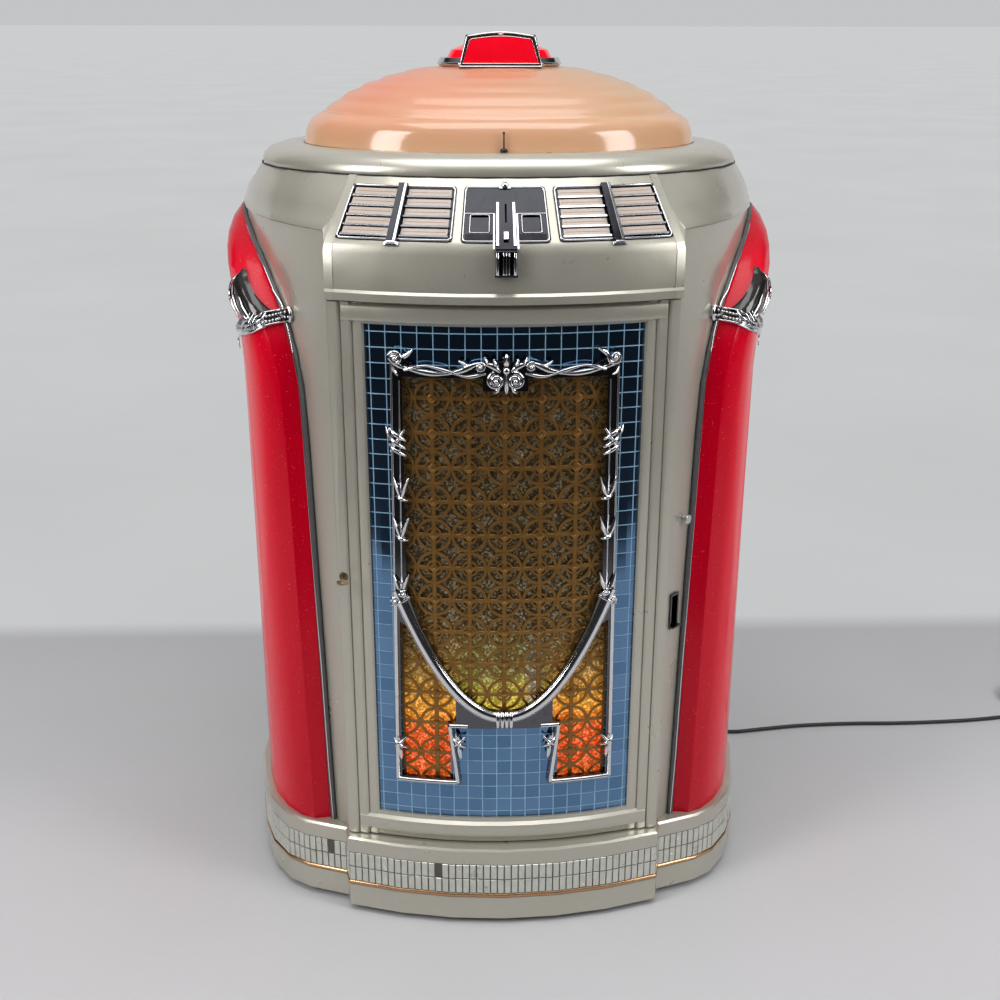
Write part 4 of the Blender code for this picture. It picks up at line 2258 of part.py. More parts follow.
def tail_points(start, heading):
    """The cord's last stretch, which turns away from the coil and comes down to the plug's height."""
    drop = start.z - PLUG_THICKNESS / 2 - GAP
    step_length = TAIL_RADIUS * TAIL_TURN / TAIL_POINTS
    turn = Matrix.Rotation(-TAIL_TURN / TAIL_POINTS, 3, "Z")
    flat = Vector((heading.x, heading.y, 0)).normalized()
    place = start
    points = []
    for step in range(TAIL_POINTS):
        flat = turn @ flat
        place = place + flat * step_length
        share = (step + 1) / TAIL_POINTS
        lowered = Vector(place)
        lowered.z = start.z - drop * share * share * (3 - 2 * share)
        points.append(lowered)
    points.append(points[-1] + flat * CORD_DIAMETER)
    return points


def least_self_gap(points, diameter, skip):
    """The least distance between the surfaces of stretches of a tube that are not neighbours."""
    least = math.inf
    for index, point in enumerate(points):
        for other in points[index + skip :]:
            least = min(least, (point - other).length)
    return least - diameter


def add_cord():
    route = route_points()
    start = Vector(CORD_ROUTE[0])
    tube(
        "power_cord",
        route[:-1] + [route[-1] - (route[-1] - route[-2]).normalized() * GAP],
        CORD_DIAMETER / 2,
        "rubber",
    )
    coil = coil_points()
    tube("cord_coil", coil, CORD_DIAMETER / 2, "rubber", roundness=1)
    gap = least_self_gap(coil, CORD_DIAMETER, COIL_POINTS // 2)
    print(f"coil: least gap to itself {gap * 1000:.2f} mm")
    length = sum((b - a).length for a, b in zip(route, route[1:]))
    turns = sum((b - a).length for a, b in zip(coil, coil[1:]))
    print(f"cord: {length:.3f} m free and {turns:.3f} m coiled, from {tuple(start)}")
    add_plug(coil)


def add_plug(coil):
    """A two-blade plug on the end of the cord, lying on the floor beside the coil."""
    end = coil[-1]
    heading = (coil[-1] - coil[-2]).normalized()
    aside = Vector((-heading.y, heading.x, 0))
    up = Vector((0, 0, 1))
    frame = Matrix((heading, aside, up)).transposed().to_4x4()
    frame.translation = end + heading * GAP

    def box(name, lows, highs, look=None):
        piece = block(name, lows, highs, look)
        piece.matrix_world = frame @ Matrix.Translation((Vector(lows) + Vector(highs)) / 2)
        return piece

    plug = box(
        "mains_plug",
        (0, -PLUG_WIDTH / 2, -PLUG_THICKNESS / 2),
        (PLUG_LENGTH, PLUG_WIDTH / 2, PLUG_THICKNESS / 2),
        "rubber",
    )
    for side in (-1, 1):
        middle = side * BLADE_SPREAD / 2
        blade = box(
            f"blade {side}",
            (PLUG_LENGTH - OVERRUN, middle - BLADE_THICKNESS / 2, -BLADE_WIDTH / 2),
            (PLUG_LENGTH + BLADE_LENGTH, middle + BLADE_THICKNESS / 2, BLADE_WIDTH / 2),
        )
        join(plug, blade)


add_base()
add_caster_wheels()
add_skirt_trims()
add_cabinet()
add_pilasters()
add_ornaments()
add_deck()
add_title_panels()
add_select_bars()
add_coin_plate()
pivot("door hinge", (HINGE_X, HINGE_Y, DOOR_BOTTOM_Z), add_door(), *add_panels())
pivot("key axis", (LOCK_X, lock_face_y(), LOCK_Z), add_key())
pivot("lid hinge", (0, *lid_axis()), *add_lid())
add_wall_controls()
add_back_panel()
add_mechanism()
add_sound()
add_cord()
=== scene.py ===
import json
import math

import bmesh
import bpy
from mathutils import Matrix, Vector
from mathutils.bvhtree import BVHTree

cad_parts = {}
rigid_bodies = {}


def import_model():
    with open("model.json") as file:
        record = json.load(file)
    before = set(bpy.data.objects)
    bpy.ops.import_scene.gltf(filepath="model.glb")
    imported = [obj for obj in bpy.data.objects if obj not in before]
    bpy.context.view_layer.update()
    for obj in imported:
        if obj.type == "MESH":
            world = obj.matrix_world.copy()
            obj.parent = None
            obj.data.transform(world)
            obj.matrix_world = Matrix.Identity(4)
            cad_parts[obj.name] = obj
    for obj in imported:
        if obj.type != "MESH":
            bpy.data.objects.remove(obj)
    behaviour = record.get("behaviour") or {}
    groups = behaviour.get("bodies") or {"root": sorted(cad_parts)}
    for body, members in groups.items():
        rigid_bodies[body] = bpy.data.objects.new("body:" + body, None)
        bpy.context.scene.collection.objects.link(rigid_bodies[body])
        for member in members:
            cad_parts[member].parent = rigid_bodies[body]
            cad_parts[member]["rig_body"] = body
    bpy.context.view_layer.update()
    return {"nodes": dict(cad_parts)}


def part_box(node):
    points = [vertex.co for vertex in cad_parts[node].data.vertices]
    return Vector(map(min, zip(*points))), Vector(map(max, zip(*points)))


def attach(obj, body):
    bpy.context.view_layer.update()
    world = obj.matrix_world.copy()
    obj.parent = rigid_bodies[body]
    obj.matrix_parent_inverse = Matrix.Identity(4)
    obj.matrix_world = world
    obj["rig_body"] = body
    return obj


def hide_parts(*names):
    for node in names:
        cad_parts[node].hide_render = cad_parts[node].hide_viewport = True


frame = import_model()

scene = bpy.context.scene
scene.view_settings.view_transform = "Standard"

# Sizes repeated from the model, in metres: half widths end in HW, half depths in HD
BARREL_A, BARREL_B, BARREL_Y0 = 0.437, 0.513, 0.168
SEAM = 1.2585
DOOR_HW, DOOR_EDGE, DOOR_BOW = 0.2676, -0.2542, 0.0486
LID_HW, LID_HD, LID_Y = 0.390, 0.2685, 0.0335
CONSOLE_HW, CONSOLE_TOP_HW, CONSOLE_EDGE_Y, CONSOLE_BOW = 0.270, 0.232, -0.2542, 0.0514
CONSOLE_LOW, CONSOLE_HIGH = 1.161, SEAM - 0.0003
MIRROR_HIGH, MIRROR_DEPTH = 1.0475, 0.0135
DOME_FOOT, DOME_HEIGHT, DOME_HW, DOME_DEPTH = SEAM + 0.032 + 0.0006 - 0.00175, 0.117, 0.3203, LID_HD / LID_HW
CROWN_FOOT = DOME_FOOT + DOME_HEIGHT + 0.0003

# The photograph: its side and its focal length in pixels, and its eye
PICTURE, FOCAL, SENSOR = 1000, 1325.66, 36.0
EYE, LOOK_DOWN, YAW, ROLL = (-0.0697, -2.2301, 1.4784), 0.3483, -0.0319, 0.002
UP, FRONT = Vector((0, 0, 1)), Vector((0, -1, 0))


# Materials
LOOKS = {}


class Net:
    """A short way to write shader nodes."""

    def __init__(self, name, slot=None):
        self.material = bpy.data.materials.new(name)
        self.material.use_nodes = True
        self.tree = self.material.node_tree
        self.shader = self.tree.nodes["Principled BSDF"]
        LOOKS[name] = self.material

    def put(self, kind, **values):
        item = self.tree.nodes.new(kind)
        for key, value in values.items():
            setattr(item, key, value)
        return item

    def feed(self, socket, value):
        if isinstance(value, bpy.types.NodeSocket):
            self.tree.links.new(value, socket)
        else:
            socket.default_value = value

    def set(self, **values):
        for key, value in values.items():
            self.feed(self.shader.inputs[key.replace("_", " ")], value)

    def coords(self):
        return self.put("ShaderNodeTexCoord").outputs["Object"]

    def axes(self):
        parts = self.put("ShaderNodeSeparateXYZ")
        self.feed(parts.inputs[0], self.coords())
        return parts.outputs[0], parts.outputs[1], parts.outputs[2]

    def join(self, x, y, z):
        made = self.put("ShaderNodeCombineXYZ")
        for socket, value in zip(made.inputs, (x, y, z)):
            self.feed(socket, value)
        return made.outputs[0]

    def math(self, operation, first, second=0.0, third=0.0, clamp=False):
        item = self.put("ShaderNodeMath", operation=operation, use_clamp=clamp)
        self.feed(item.inputs[0], first)
        self.feed(item.inputs[1], second)
        self.feed(item.inputs[2], third)
        return item.outputs[0]

    def times(self, first, second):
        return self.math("MULTIPLY", first, second)

    def off(self, value, middle):
        """How far a value is from a middle one."""
        return self.math("ABSOLUTE", self.math("SUBTRACT", value, middle))

    def stretched(self, across, along):
        """Coordinates that draw a pattern out along z."""
        x, y, z = self.axes()
        return self.join(self.times(x, across), self.times(y, across), self.times(z, along))

    def noise(self, scale, detail=2.0, rough=0.5, vector=None):
        item = self.put("ShaderNodeTexNoise")
        self.feed(item.inputs["Vector"], vector or self.coords())
        self.feed(item.inputs["Scale"], scale)
        self.feed(item.inputs["Detail"], detail)
        self.feed(item.inputs["Roughness"], rough)
        return item.outputs[0]

    def random(self, vector):
        item = self.put("ShaderNodeTexWhiteNoise")
        self.feed(item.inputs["Vector"], vector)
        return item.outputs["Value"]

    def ramp(self, value, stops, interpolation="LINEAR"):
        item = self.put("ShaderNodeValToRGB")
        item.color_ramp.interpolation = interpolation
        while len(item.color_ramp.elements) < len(stops):
            item.color_ramp.elements.new(0.5)
        for element, (place, colour) in zip(item.color_ramp.elements, stops):
            element.position = place
            element.color = (*colour, 1)
        self.feed(item.inputs[0], value)
        return item.outputs[0]

    def span(self, value, low, high, to_low=0.0, to_high=1.0):
        item = self.put("ShaderNodeMapRange")
        for socket, given in zip(item.inputs, (value, low, high, to_low, to_high)):
            self.feed(socket, given)
        return item.outputs[0]

    def mix(self, share, first, second):
        item = self.put("ShaderNodeMix", data_type="RGBA")
        self.feed(item.inputs[0], share)
        for socket, colour in zip(item.inputs[6:8], (first, second)):
            self.feed(socket, colour if isinstance(colour, bpy.types.NodeSocket) else (*colour, 1))
        return item.outputs[2]

    def uneven(self, low, high, scale, detail=2.0):
        """A roughness that wanders between two values."""
        return self.span(self.noise(scale, detail), 0.3, 0.7, low, high)

    def bump(self, height, strength, distance):
        item = self.put("ShaderNodeBump")
        self.feed(item.inputs["Height"], height)
        self.feed(item.inputs["Strength"], strength)
        self.feed(item.inputs["Distance"], distance)
        self.feed(self.shader.inputs["Normal"], item.outputs[0])


net = Net("champagne", "cabinet_paint")
flakes = net.span(net.noise(1500, 1, 0.5), 0.35, 0.65)
cloud = net.span(net.noise(4, 3, 0.5), 0.35, 0.7, 0.0, 0.18)
paint = net.mix(cloud, net.mix(flakes, (0.455, 0.432, 0.362), (0.560, 0.538, 0.462)), (0.42, 0.40, 0.345))
net.set(Base_Color=paint, Metallic=0.50, Roughness=net.uneven(0.27, 0.35, 22, 3), Coat_Weight=0.6,
        Coat_Roughness=0.08)
net.bump(net.noise(260, 2), 0.03, 0.0004)

# Near black: painted shadow in the joint under the lid
net = Net("seam_shadow", "cast_metal")
net.set(Base_Color=(0.012, 0.011, 0.010, 1), Roughness=net.uneven(0.5, 0.8, 60))

net = Net("red_plastic", "red_plastic")
x, y, z = net.axes()
side = net.math("ABSOLUTE", x)
around = net.math("ARCTAN2", side, net.times(net.math("SUBTRACT", BARREL_Y0, y), BARREL_A / BARREL_B))
streak = net.noise(3.0, 3, 0.6, net.stretched(9.0, 0.7))
# Painted glow from the lamps inside: the base colour and the emission are brighter in a band round the
# barrel, and the emission is dimmer toward the bottom
tube = net.off(around, 1.02)
painted_glow_band = net.ramp(net.span(tube, 0.0, 0.42),
                [(0.0, (1, 1, 1)), (0.5, (0.55, 0.55, 0.55)), (1.0, (0.12, 0.12, 0.12))], "EASE")
dust = net.span(net.noise(300, 1), 0.70, 0.76)
red = net.mix(painted_glow_band, (0.27, 0.0, 0.007), (0.58, 0.0, 0.015))
net.set(Base_Color=net.mix(net.times(dust, 0.30), red, (0.9, 0.25, 0.25)))
net.set(Roughness=net.span(streak, 0.3, 0.7, 0.16, 0.26), Coat_Weight=0.08, Coat_Roughness=0.04,
        Specular_IOR_Level=0.20)
net.set(Emission_Color=red)
level = net.times(net.span(streak, 0.3, 0.7, 0.20, 0.34), net.span(z, 0.15, 0.5, 0.72, 1.0))
net.set(Emission_Strength=net.times(level, net.math("MULTIPLY_ADD", painted_glow_band, 0.75, 0.45)))
net.bump(net.noise(900, 1), 0.02, 0.0003)


def chrome(name, colour=(0.74, 0.74, 0.76), rough=(0.05, 0.12), slot="chrome", tarnish=(0.42, 0.40, 0.38)):
    net = Net(name, slot)
    marks = net.noise(90, 4, 0.6)
    net.set(Base_Color=net.mix(net.span(marks, 0.55, 0.8, 0.0, 0.5), colour, tarnish))
    net.set(Metallic=1.0, Roughness=net.span(net.noise(24, 3), 0.3, 0.75, rough[0], rough[1]))
    net.bump(net.noise(55, 2), 0.05, 0.0012)
    return net


chrome("chrome")
# A darker copy of the chrome: painted dark reflection
chrome("chrome_painted_dark", (0.13, 0.13, 0.14), (0.07, 0.16), "chrome", (0.05, 0.05, 0.05))
chrome("black_chrome_and_painted_shadow", (0.035, 0.035, 0.04), (0.08, 0.18), "chrome", (0.02, 0.02, 0.02))
chrome("bronze", (0.30, 0.22, 0.12), (0.28, 0.42), "bronze", (0.16, 0.12, 0.07))
chrome("copper", (0.55, 0.32, 0.17), (0.14, 0.30), "copper", (0.30, 0.18, 0.10))
chrome("steel", (0.25, 0.25, 0.26), (0.30, 0.45), "chassis", (0.12, 0.12, 0.12))

net = Net("grey_trim", "grey_trim")
x, y, z = net.axes()
ribs = net.math("SINE", net.times(z, 4200.0))
net.set(Base_Color=net.mix(net.noise(140, 3), (0.085, 0.082, 0.088), (0.14, 0.135, 0.14)), Metallic=0.35)
net.set(Roughness=net.uneven(0.38, 0.55, 60, 2))
net.bump(net.math("MULTIPLY_ADD", ribs, 0.3, net.noise(700, 2)), 0.12, 0.0004)

net = Net("blue_tiles", "mirror_blue")
x, y, z = net.axes()
u = net.math("DIVIDE", net.math("ADD", x, 0.0123), 0.0241)
v = net.math("DIVIDE", net.math("SUBTRACT", z, MIRROR_HIGH - 0.0115), 0.0243)
column, row = net.math("FLOOR", u), net.math("FLOOR", v)
chance, again = net.random(net.join(column, row, 0.0)), net.random(net.join(row, column, 7.0))
edge = net.span(net.math("MAXIMUM", net.off(net.math("FRACT", u), 0.5), net.off(net.math("FRACT", v), 0.5)),
                0.455, 0.47975)
net.set(Base_Color=net.mix(edge, net.mix(chance, (0.105, 0.205, 0.36), (0.15, 0.27, 0.45)),
                           (0.30, 0.52, 0.70)))
net.set(Metallic=net.math("SUBTRACT", 1.0, net.times(edge, 0.75)))
net.set(Roughness=net.math("ADD", net.times(edge, 0.3), net.uneven(0.05, 0.11, 50, 2)))
leans = [net.times(net.math("SUBTRACT", net.math("FRACT", place), 0.5), net.math("SUBTRACT", lean, 0.5))
         for place, lean in ((u, chance), (v, again))]
net.bump(net.math("ADD", net.times(net.math("ADD", *leans), 1.2), net.times(edge, -0.6)), 0.6, 0.0006)

net = Net("band_glass", "mirror_clear")
piece_tone = net.noise(60, 2, 0.5)
worn = net.span(net.noise(34, 5, 0.75), 0.60, 0.70)
net.set(Base_Color=net.mix(net.times(worn, 0.6),
                           net.mix(piece_tone, (0.52, 0.53, 0.47), (0.74, 0.75, 0.68)),
                           (0.17, 0.14, 0.10)))
net.set(Metallic=0.55, Roughness=net.uneven(0.10, 0.28, 40, 3))
net.bump(net.noise(220, 3), 0.06, 0.0004)


def speckled(name, slot, tone, dark, light, rough, grain=None, **finish):
    """A plain material: a colour between two tones, an even or wandering roughness, and a fine grain."""
    net = Net(name, slot)
    net.set(Base_Color=net.mix(net.noise(*tone), dark, light))
    net.set(Roughness=net.uneven(*rough) if isinstance(rough, tuple) else rough, **finish)
    if grain:
        net.bump(net.noise(*grain[0]), *grain[1:])


speckled("grout", "mirror_clear", (200, 3), (0.07, 0.062, 0.048), (0.14, 0.125, 0.095), 0.8,
         ((600, 3), 0.3, 0.0004))
speckled("gold_screen", "gold", (160, 3), (0.23, 0.115, 0.028), (0.36, 0.19, 0.055), (0.30, 0.44, 60, 3),
         ((500, 2), 0.10, 0.0004), Metallic=0.75)
speckled("crown_red", "red_plastic", (40, 2), (0.66, 0.0, 0.012), (0.80, 0.006, 0.02), 0.14,
         ((600, 1), 0.02, 0.0003), Coat_Weight=0.7, Emission_Color=(0.8, 0.0, 0.012, 1),
         Emission_Strength=0.32)
speckled("paper", "chrome", (220, 3), (0.44, 0.365, 0.31), (0.56, 0.475, 0.41), 0.42,
         ((900, 2), 0.04, 0.0002), Coat_Weight=0.3)
speckled("horn_black", "chrome", (160, 3), (0.010, 0.009, 0.008), (0.024, 0.022, 0.020), (0.07, 0.16, 70, 3),
         ((140, 2), 0.05, 0.0003), Specular_IOR_Level=0.6)
speckled("rule_ink", "chrome", (300, 2), (0.20, 0.05, 0.04), (0.30, 0.10, 0.08), 0.5)
speckled("rubber", "rubber", (160, 3), (0.010, 0.010, 0.011), (0.022, 0.022, 0.023), (0.42, 0.6, 80),
         ((700, 2), 0.10, 0.0003))
speckled("fibreboard", "fibreboard", (110, 5, 0.7), (0.16, 0.095, 0.05), (0.27, 0.17, 0.095), 0.85,
         ((420, 4, 0.7), 0.35, 0.0006))
speckled("cone", "baffle", (240, 4), (0.018, 0.017, 0.016), (0.045, 0.042, 0.038), 0.9,
         ((600, 3), 0.3, 0.0005))
speckled("dark_enamel", "dark_steel", (50, 3), (0.030, 0.030, 0.033), (0.055, 0.055, 0.058), (0.35, 0.5, 40),
         ((900, 2), 0.10, 0.0003), Metallic=0.5)


# Crinkled glitter foil, lit from below: dark gold above, yellow at the tip, orange and red in the legs
net = Net("foil", "gold")
x, y, z = net.axes()
crystal = net.put("ShaderNodeTexVoronoi", feature="F1")
net.feed(crystal.inputs["Vector"], net.coords())
net.feed(crystal.inputs["Scale"], 330.0)
glint = net.span(net.random(crystal.outputs["Position"]), 0.45, 1.0)
side = net.math("ABSOLUTE", x)
in_leg = net.span(side, 0.055, 0.090)
shift = net.times(net.math("SUBTRACT", net.noise(14, 2), 0.5), 0.06)
level = net.span(net.math("ADD", z, shift), 0.26, 0.60)
legs = net.ramp(level, [(0.0, (0.85, 0.16, 0.02)), (0.12, (1.0, 0.10, 0.012)), (0.30, (1.0, 0.13, 0.014)),
                        (0.42, (1.0, 0.42, 0.03)), (0.60, (0.62, 0.34, 0.06)), (0.78, (0.22, 0.13, 0.04)),
                        (1.0, (0.085, 0.055, 0.020))])
middle = net.ramp(level, [(0.0, (1.0, 0.75, 0.05)), (0.40, (1.0, 0.72, 0.08)), (0.50, (0.72, 0.60, 0.08)),
                          (0.62, (0.34, 0.29, 0.07)), (0.85, (0.14, 0.095, 0.035)),
                          (1.0, (0.085, 0.055, 0.020))])
cold = net.span(net.off(x, 0.050), 0.018, 0.0)
cold = net.times(cold, net.span(z, 0.56, 0.44))
middle = net.mix(net.math("MULTIPLY", cold, 0.8, clamp=True), middle, (0.50, 0.46, 0.52))
green = net.span(net.off(x, -0.062), 0.03, 0.0)
green = net.times(green, net.span(z, 0.54, 0.42))
middle = net.mix(net.math("MULTIPLY", green, 0.7, clamp=True), middle, (0.45, 0.62, 0.06))
glow = net.mix(in_leg, middle, legs)
dark = net.mix(glint, (0.055, 0.036, 0.014), (0.72, 0.60, 0.38))
net.set(Base_Color=net.mix(0.45, dark, glow), Metallic=0.55, Roughness=net.span(glint, 0.0, 1.0, 0.5, 0.22))
power = net.times(net.ramp(level, [(0.0, (0.75, 0.75, 0.75)), (0.35, (0.8, 0.8, 0.8)),
                                   (0.6, (0.36, 0.36, 0.36)), (1.0, (0.16, 0.16, 0.16))]),
                 net.span(glint, 0.0, 1.0, 0.45, 1.5))
net.set(Emission_Color=glow, Emission_Strength=power)
net.bump(net.random(crystal.outputs["Position"]), 0.9, 0.0012)

net = Net("dome_plastic", "dome_plastic")
x, y, z = net.axes()
warm = net.span(z, 1.31, 1.40)
left = net.span(x, 0.16, -0.20)
tan = net.mix(warm, (0.62, 0.36, 0.21), (0.47, 0.31, 0.19))
blush = net.times(left, net.span(z, 1.295, 1.385))
tan = net.mix(net.times(blush, 0.62), tan, (0.74, 0.155, 0.095))
net.set(Base_Color=net.mix(net.span(net.noise(12, 3), 0.35, 0.7, 0.0, 0.25), tan, (0.60, 0.34, 0.22)))
net.set(Roughness=net.span(z, 1.325, 1.345, 0.13, 0.34), Coat_Weight=0.4, Coat_Roughness=0.08)
net.set(Subsurface_Weight=0.35, Subsurface_Radius=(0.03, 0.012, 0.006), Subsurface_Scale=0.35)
net.set(Emission_Color=tan, Emission_Strength=0.06)
net.bump(net.noise(1400, 2), 0.03, 0.0003)

net = Net("records", "shellac")
x, y, z = net.axes()
squares = [net.math("POWER", net.math("SUBTRACT", place, middle), 2.0)
           for place, middle in ((x, -0.165), (y, 0.085))]
radius = net.math("SQRT", net.math("ADD", *squares))
label = net.span(radius, 0.047, 0.046)
groove = net.math("SINE", net.times(radius, 9000.0))
net.set(Base_Color=net.mix(label, (0.012, 0.012, 0.013), (0.35, 0.05, 0.04)))
net.set(Roughness=net.span(groove, -1.0, 1.0, 0.16, 0.30))
net.bump(groove, 0.15, 0.0002)


# Shapes
def link(name, mesh, look, body, replaced=(), sharp=38):
    bm = bmesh.new()
    bm.from_mesh(mesh)
    bmesh.ops.remove_doubles(bm, verts=bm.verts, dist=0.000005)
    bmesh.ops.recalc_face_normals(bm, faces=bm.faces)
    bm.to_mesh(mesh)
    bm.free()
    mesh.shade_smooth()
    mesh.set_sharp_from_angle(angle=math.radians(sharp))
    piece = bpy.data.objects.new(name, mesh)
    scene.collection.objects.link(piece)
    mesh.materials.append(LOOKS[look])
    if body:
        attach(piece, body)
        if replaced:
            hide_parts(*replaced)
    return piece


def data(verts, faces, name="mesh"):
    mesh = bpy.data.meshes.new(name)
    mesh.from_pydata([tuple(v) for v in verts], [], faces)
    return mesh


class Bag:
    """Collects shapes that make one piece."""

    def __init__(self):
        self.verts = []
        self.faces = []

    def add(self, verts, faces):
        shift = len(self.verts)
        self.verts += [Vector(v) for v in verts]
        self.faces += [tuple(i + shift for i in f) for f in faces]

    def rings(self, rings, closed_rows=False, caps=True, closed_ring=True):
        count = len(rings[0])
        verts = [p for ring in rings for p in ring]
        faces = []
        rows = len(rings)
        for row in range(rows if closed_rows else rows - 1):
            nxt = (row + 1) % rows
            for i in range(count if closed_ring else count - 1):
                j = (i + 1) % count
                faces.append((row * count + i, row * count + j, nxt * count + j, nxt * count + i))
        if caps and not closed_rows and closed_ring:
            faces.append(tuple(reversed(range(count))))
            faces.append(tuple((rows - 1) * count + i for i in range(count)))
        self.add(verts, faces)

    def tube(self, points, radii, up=FRONT, sides=12, flat=1.0, ups=None):
        """A round or flattened tube along points; flat scales its height off the surface."""
        points = [Vector(p) for p in points]
        rings = []
        for i, point in enumerate(points):
            ahead = points[min(i + 1, len(points) - 1)] - points[max(i - 1, 0)]
            ahead.normalize()
            top = ups[i] if ups else up
            across = ahead.cross(top)
            if across.length < 1e-6:
                across = ahead.orthogonal()
            across.normalize()
            lift = across.cross(ahead).normalized()
            radius = radii[i] if isinstance(radii, (list, tuple)) else radii
            ring = []
            for step in range(sides):
                angle = 2 * math.pi * step / sides
                ring.append(point + across * (radius * math.cos(angle))
                            + lift * (radius * flat * math.sin(angle)))
            rings.append(ring)
        self.rings(rings)

    def ball(self, centre, radii, steps=14):
        rings = []
        for i in range(1, steps // 2):
            lat = math.pi * i / (steps // 2)
            ring = []
            for j in range(steps):
                lon = 2 * math.pi * j / steps
                unit = (math.sin(lat) * math.cos(lon), math.sin(lat) * math.sin(lon), math.cos(lat))
                ring.append(Vector(c + r * u for c, r, u in zip(centre, radii, unit)))
            rings.append(ring)
        self.rings(rings)

    def done(self, name, look, body, replaced=(), sharp=38):
        return link(name, data(self.verts, self.faces, name), look, body, replaced, sharp)


def spaced(points, count):
    """Points at even distances along a line of points."""
    lengths = [0.0]
    for a, b in zip(points, points[1:]):
        lengths.append(lengths[-1] + (b - a).length)
    picked, i = [], 0
    for k in range(count + 1):
        want = lengths[-1] * k / count
        while i < len(points) - 2 and lengths[i + 1] < want:
            i += 1
        t = (want - lengths[i]) / max(lengths[i + 1] - lengths[i], 1e-9)
        picked.append(points[i].lerp(points[i + 1], min(max(t, 0), 1)))
    return picked


def rounded(bag, points, width, high, out_at, sides=10, closed=False):
    """A half-round moulding along points on a face; out_at gives the way out of the face."""
    rings = []
    last = len(points) - 1
    for i, p in enumerate(points):
        ahead = points[0 if closed and i == last else min(i + 1, last)]
        along = (ahead - points[i - 1 if closed else max(i - 1, 0)]).normalized()
        out = out_at(p)
        across = along.cross(out).normalized()
        angles = [math.pi * k / sides for k in range(sides + 1)]
        rings.append([p + across * (width / 2 * math.cos(a)) + out * (high * math.sin(a)) for a in angles])
    bag.rings(rings, closed_rows=closed)


def curve_through(points, steps=6):
    """Points on a smooth curve through the given ones."""
    places = [Vector(p) for p in points]
    ends = [2 * places[0] - places[1]] + places + [2 * places[-1] - places[-2]]
    result = []
    for index in range(1, len(ends) - 2):
        before, start, end, after = ends[index - 1 : index + 3]
        for step in range(steps):
            t = step / steps
            result.append((2 * start + (end - before) * t + (2 * before - 5 * start + 4 * end - after) * t**2
                           + (3 * start - before - 3 * end + after) * t**3) / 2)
    result.append(places[-1])
    return result


def door_y(x, depth=0.0):
    return DOOR_EDGE - DOOR_BOW * (1 - (x / DOOR_HW) ** 2) + depth


def door_out(x):
    return Vector((2 * DOOR_BOW * x / DOOR_HW**2, -1, 0)).normalized()


def on_panel(x, z, lift=0.0):
    """A place over the mirror panel's face."""
    return Vector((x, door_y(x, MIRROR_DEPTH), z)) + door_out(x) * lift


def lid_front(x, inset=0.0):
    return LID_Y - (LID_HD - inset) * math.sqrt(max(0, 1 - (x / (LID_HW - inset)) ** 2))


def console(ws, ss, height=0.0):
    lower = Vector((CONSOLE_HW * ws, CONSOLE_EDGE_Y - CONSOLE_BOW * (1 - ws**2), CONSOLE_LOW))
    x = CONSOLE_TOP_HW * ws
    upper = Vector((x, lid_front(x), CONSOLE_HIGH))
    return lower.lerp(upper, ss) + console_out(ws) * height


def console_out(ws):
    a = Vector((CONSOLE_HW * (ws - 0.01), CONSOLE_EDGE_Y - CONSOLE_BOW * (1 - (ws - 0.01) ** 2),
                CONSOLE_LOW))
    b = Vector((CONSOLE_HW * (ws + 0.01), CONSOLE_EDGE_Y - CONSOLE_BOW * (1 - (ws + 0.01) ** 2),
                CONSOLE_LOW))
    x = CONSOLE_TOP_HW * ws
    up = Vector((x, lid_front(x), CONSOLE_HIGH)) - (a + b) / 2
    return (b - a).cross(up).normalized()


SLOPE = (console(0, 1) - console(0, 0)).length


# Camera, stage and light
camera_data = bpy.data.cameras.new("camera")
camera_data.sensor_width = SENSOR
camera_data.lens = FOCAL / PICTURE * SENSOR
camera_data.dof.use_dof = False
camera = bpy.data.objects.new("camera", camera_data)
scene.collection.objects.link(camera)
camera.location = EYE
turned = (Matrix.Rotation(YAW, 3, "Z") @ Matrix.Rotation(math.radians(90) - LOOK_DOWN, 3, "X")
          @ Matrix.Rotation(ROLL, 3, "Z"))
camera.rotation_euler = turned.to_euler()
scene.camera = camera

net = Net("backdrop")
x, y, z = net.axes()
broad = net.noise(1.3, 3, 0.5)
crease = net.noise(5.0, 6, 0.62)
near = net.mix(broad, (0.50, 0.50, 0.51), (0.585, 0.585, 0.60))
far = net.mix(net.noise(0.7, 3), (0.47, 0.48, 0.485), (0.56, 0.565, 0.57))
wall = net.span(y, 0.84, 0.93)
net.set(Base_Color=net.mix(wall, near, (0.02, 0.02, 0.02)), Roughness=0.6)
net.set(Emission_Color=far, Emission_Strength=wall)
net.bump(crease, 0.12, 0.03)
bag = Bag()
FLOOR_STOPS = -1.55, -0.8, 0.0, 0.5, 0.84, 0.93, 2.5, 6.0, 16.0, 60.0, 300.0
rows = [[Vector(((-30 + 60 * k / 8) * max(1, y / 6), y, 0)) for k in range(9)] for y in FLOOR_STOPS]
bag.rings(rows, caps=False, closed_ring=False)
bag.done("pale_floor", "backdrop", None)

net = Net("room")
x, y, z = net.axes()
seen = net.put("ShaderNodeLightPath").outputs["Is Camera Ray"]
pale = net.mix(net.noise(1.3, 3, 0.5), (0.50, 0.50, 0.51), (0.585, 0.585, 0.60))
net.set(Base_Color=net.mix(net.math("MAXIMUM", seen, net.span(y, -1.75, -1.5)), (0.028, 0.028, 0.030),
                           pale), Roughness=0.6)
net.set(Emission_Color=pale, Emission_Strength=net.times(seen, net.span(y, -1.9, -3.6)))
net.bump(net.noise(5.0, 6, 0.62), 0.12, 0.03)
bag = Bag()
bag.rings([[Vector((x, y, 0)) for x in (-30, -5, 5, 30)] for y in (-60, -14, -4, -1.75, -1.5501)],
          caps=False, closed_ring=False)
bag.done("dark_room_floor", "room", None)

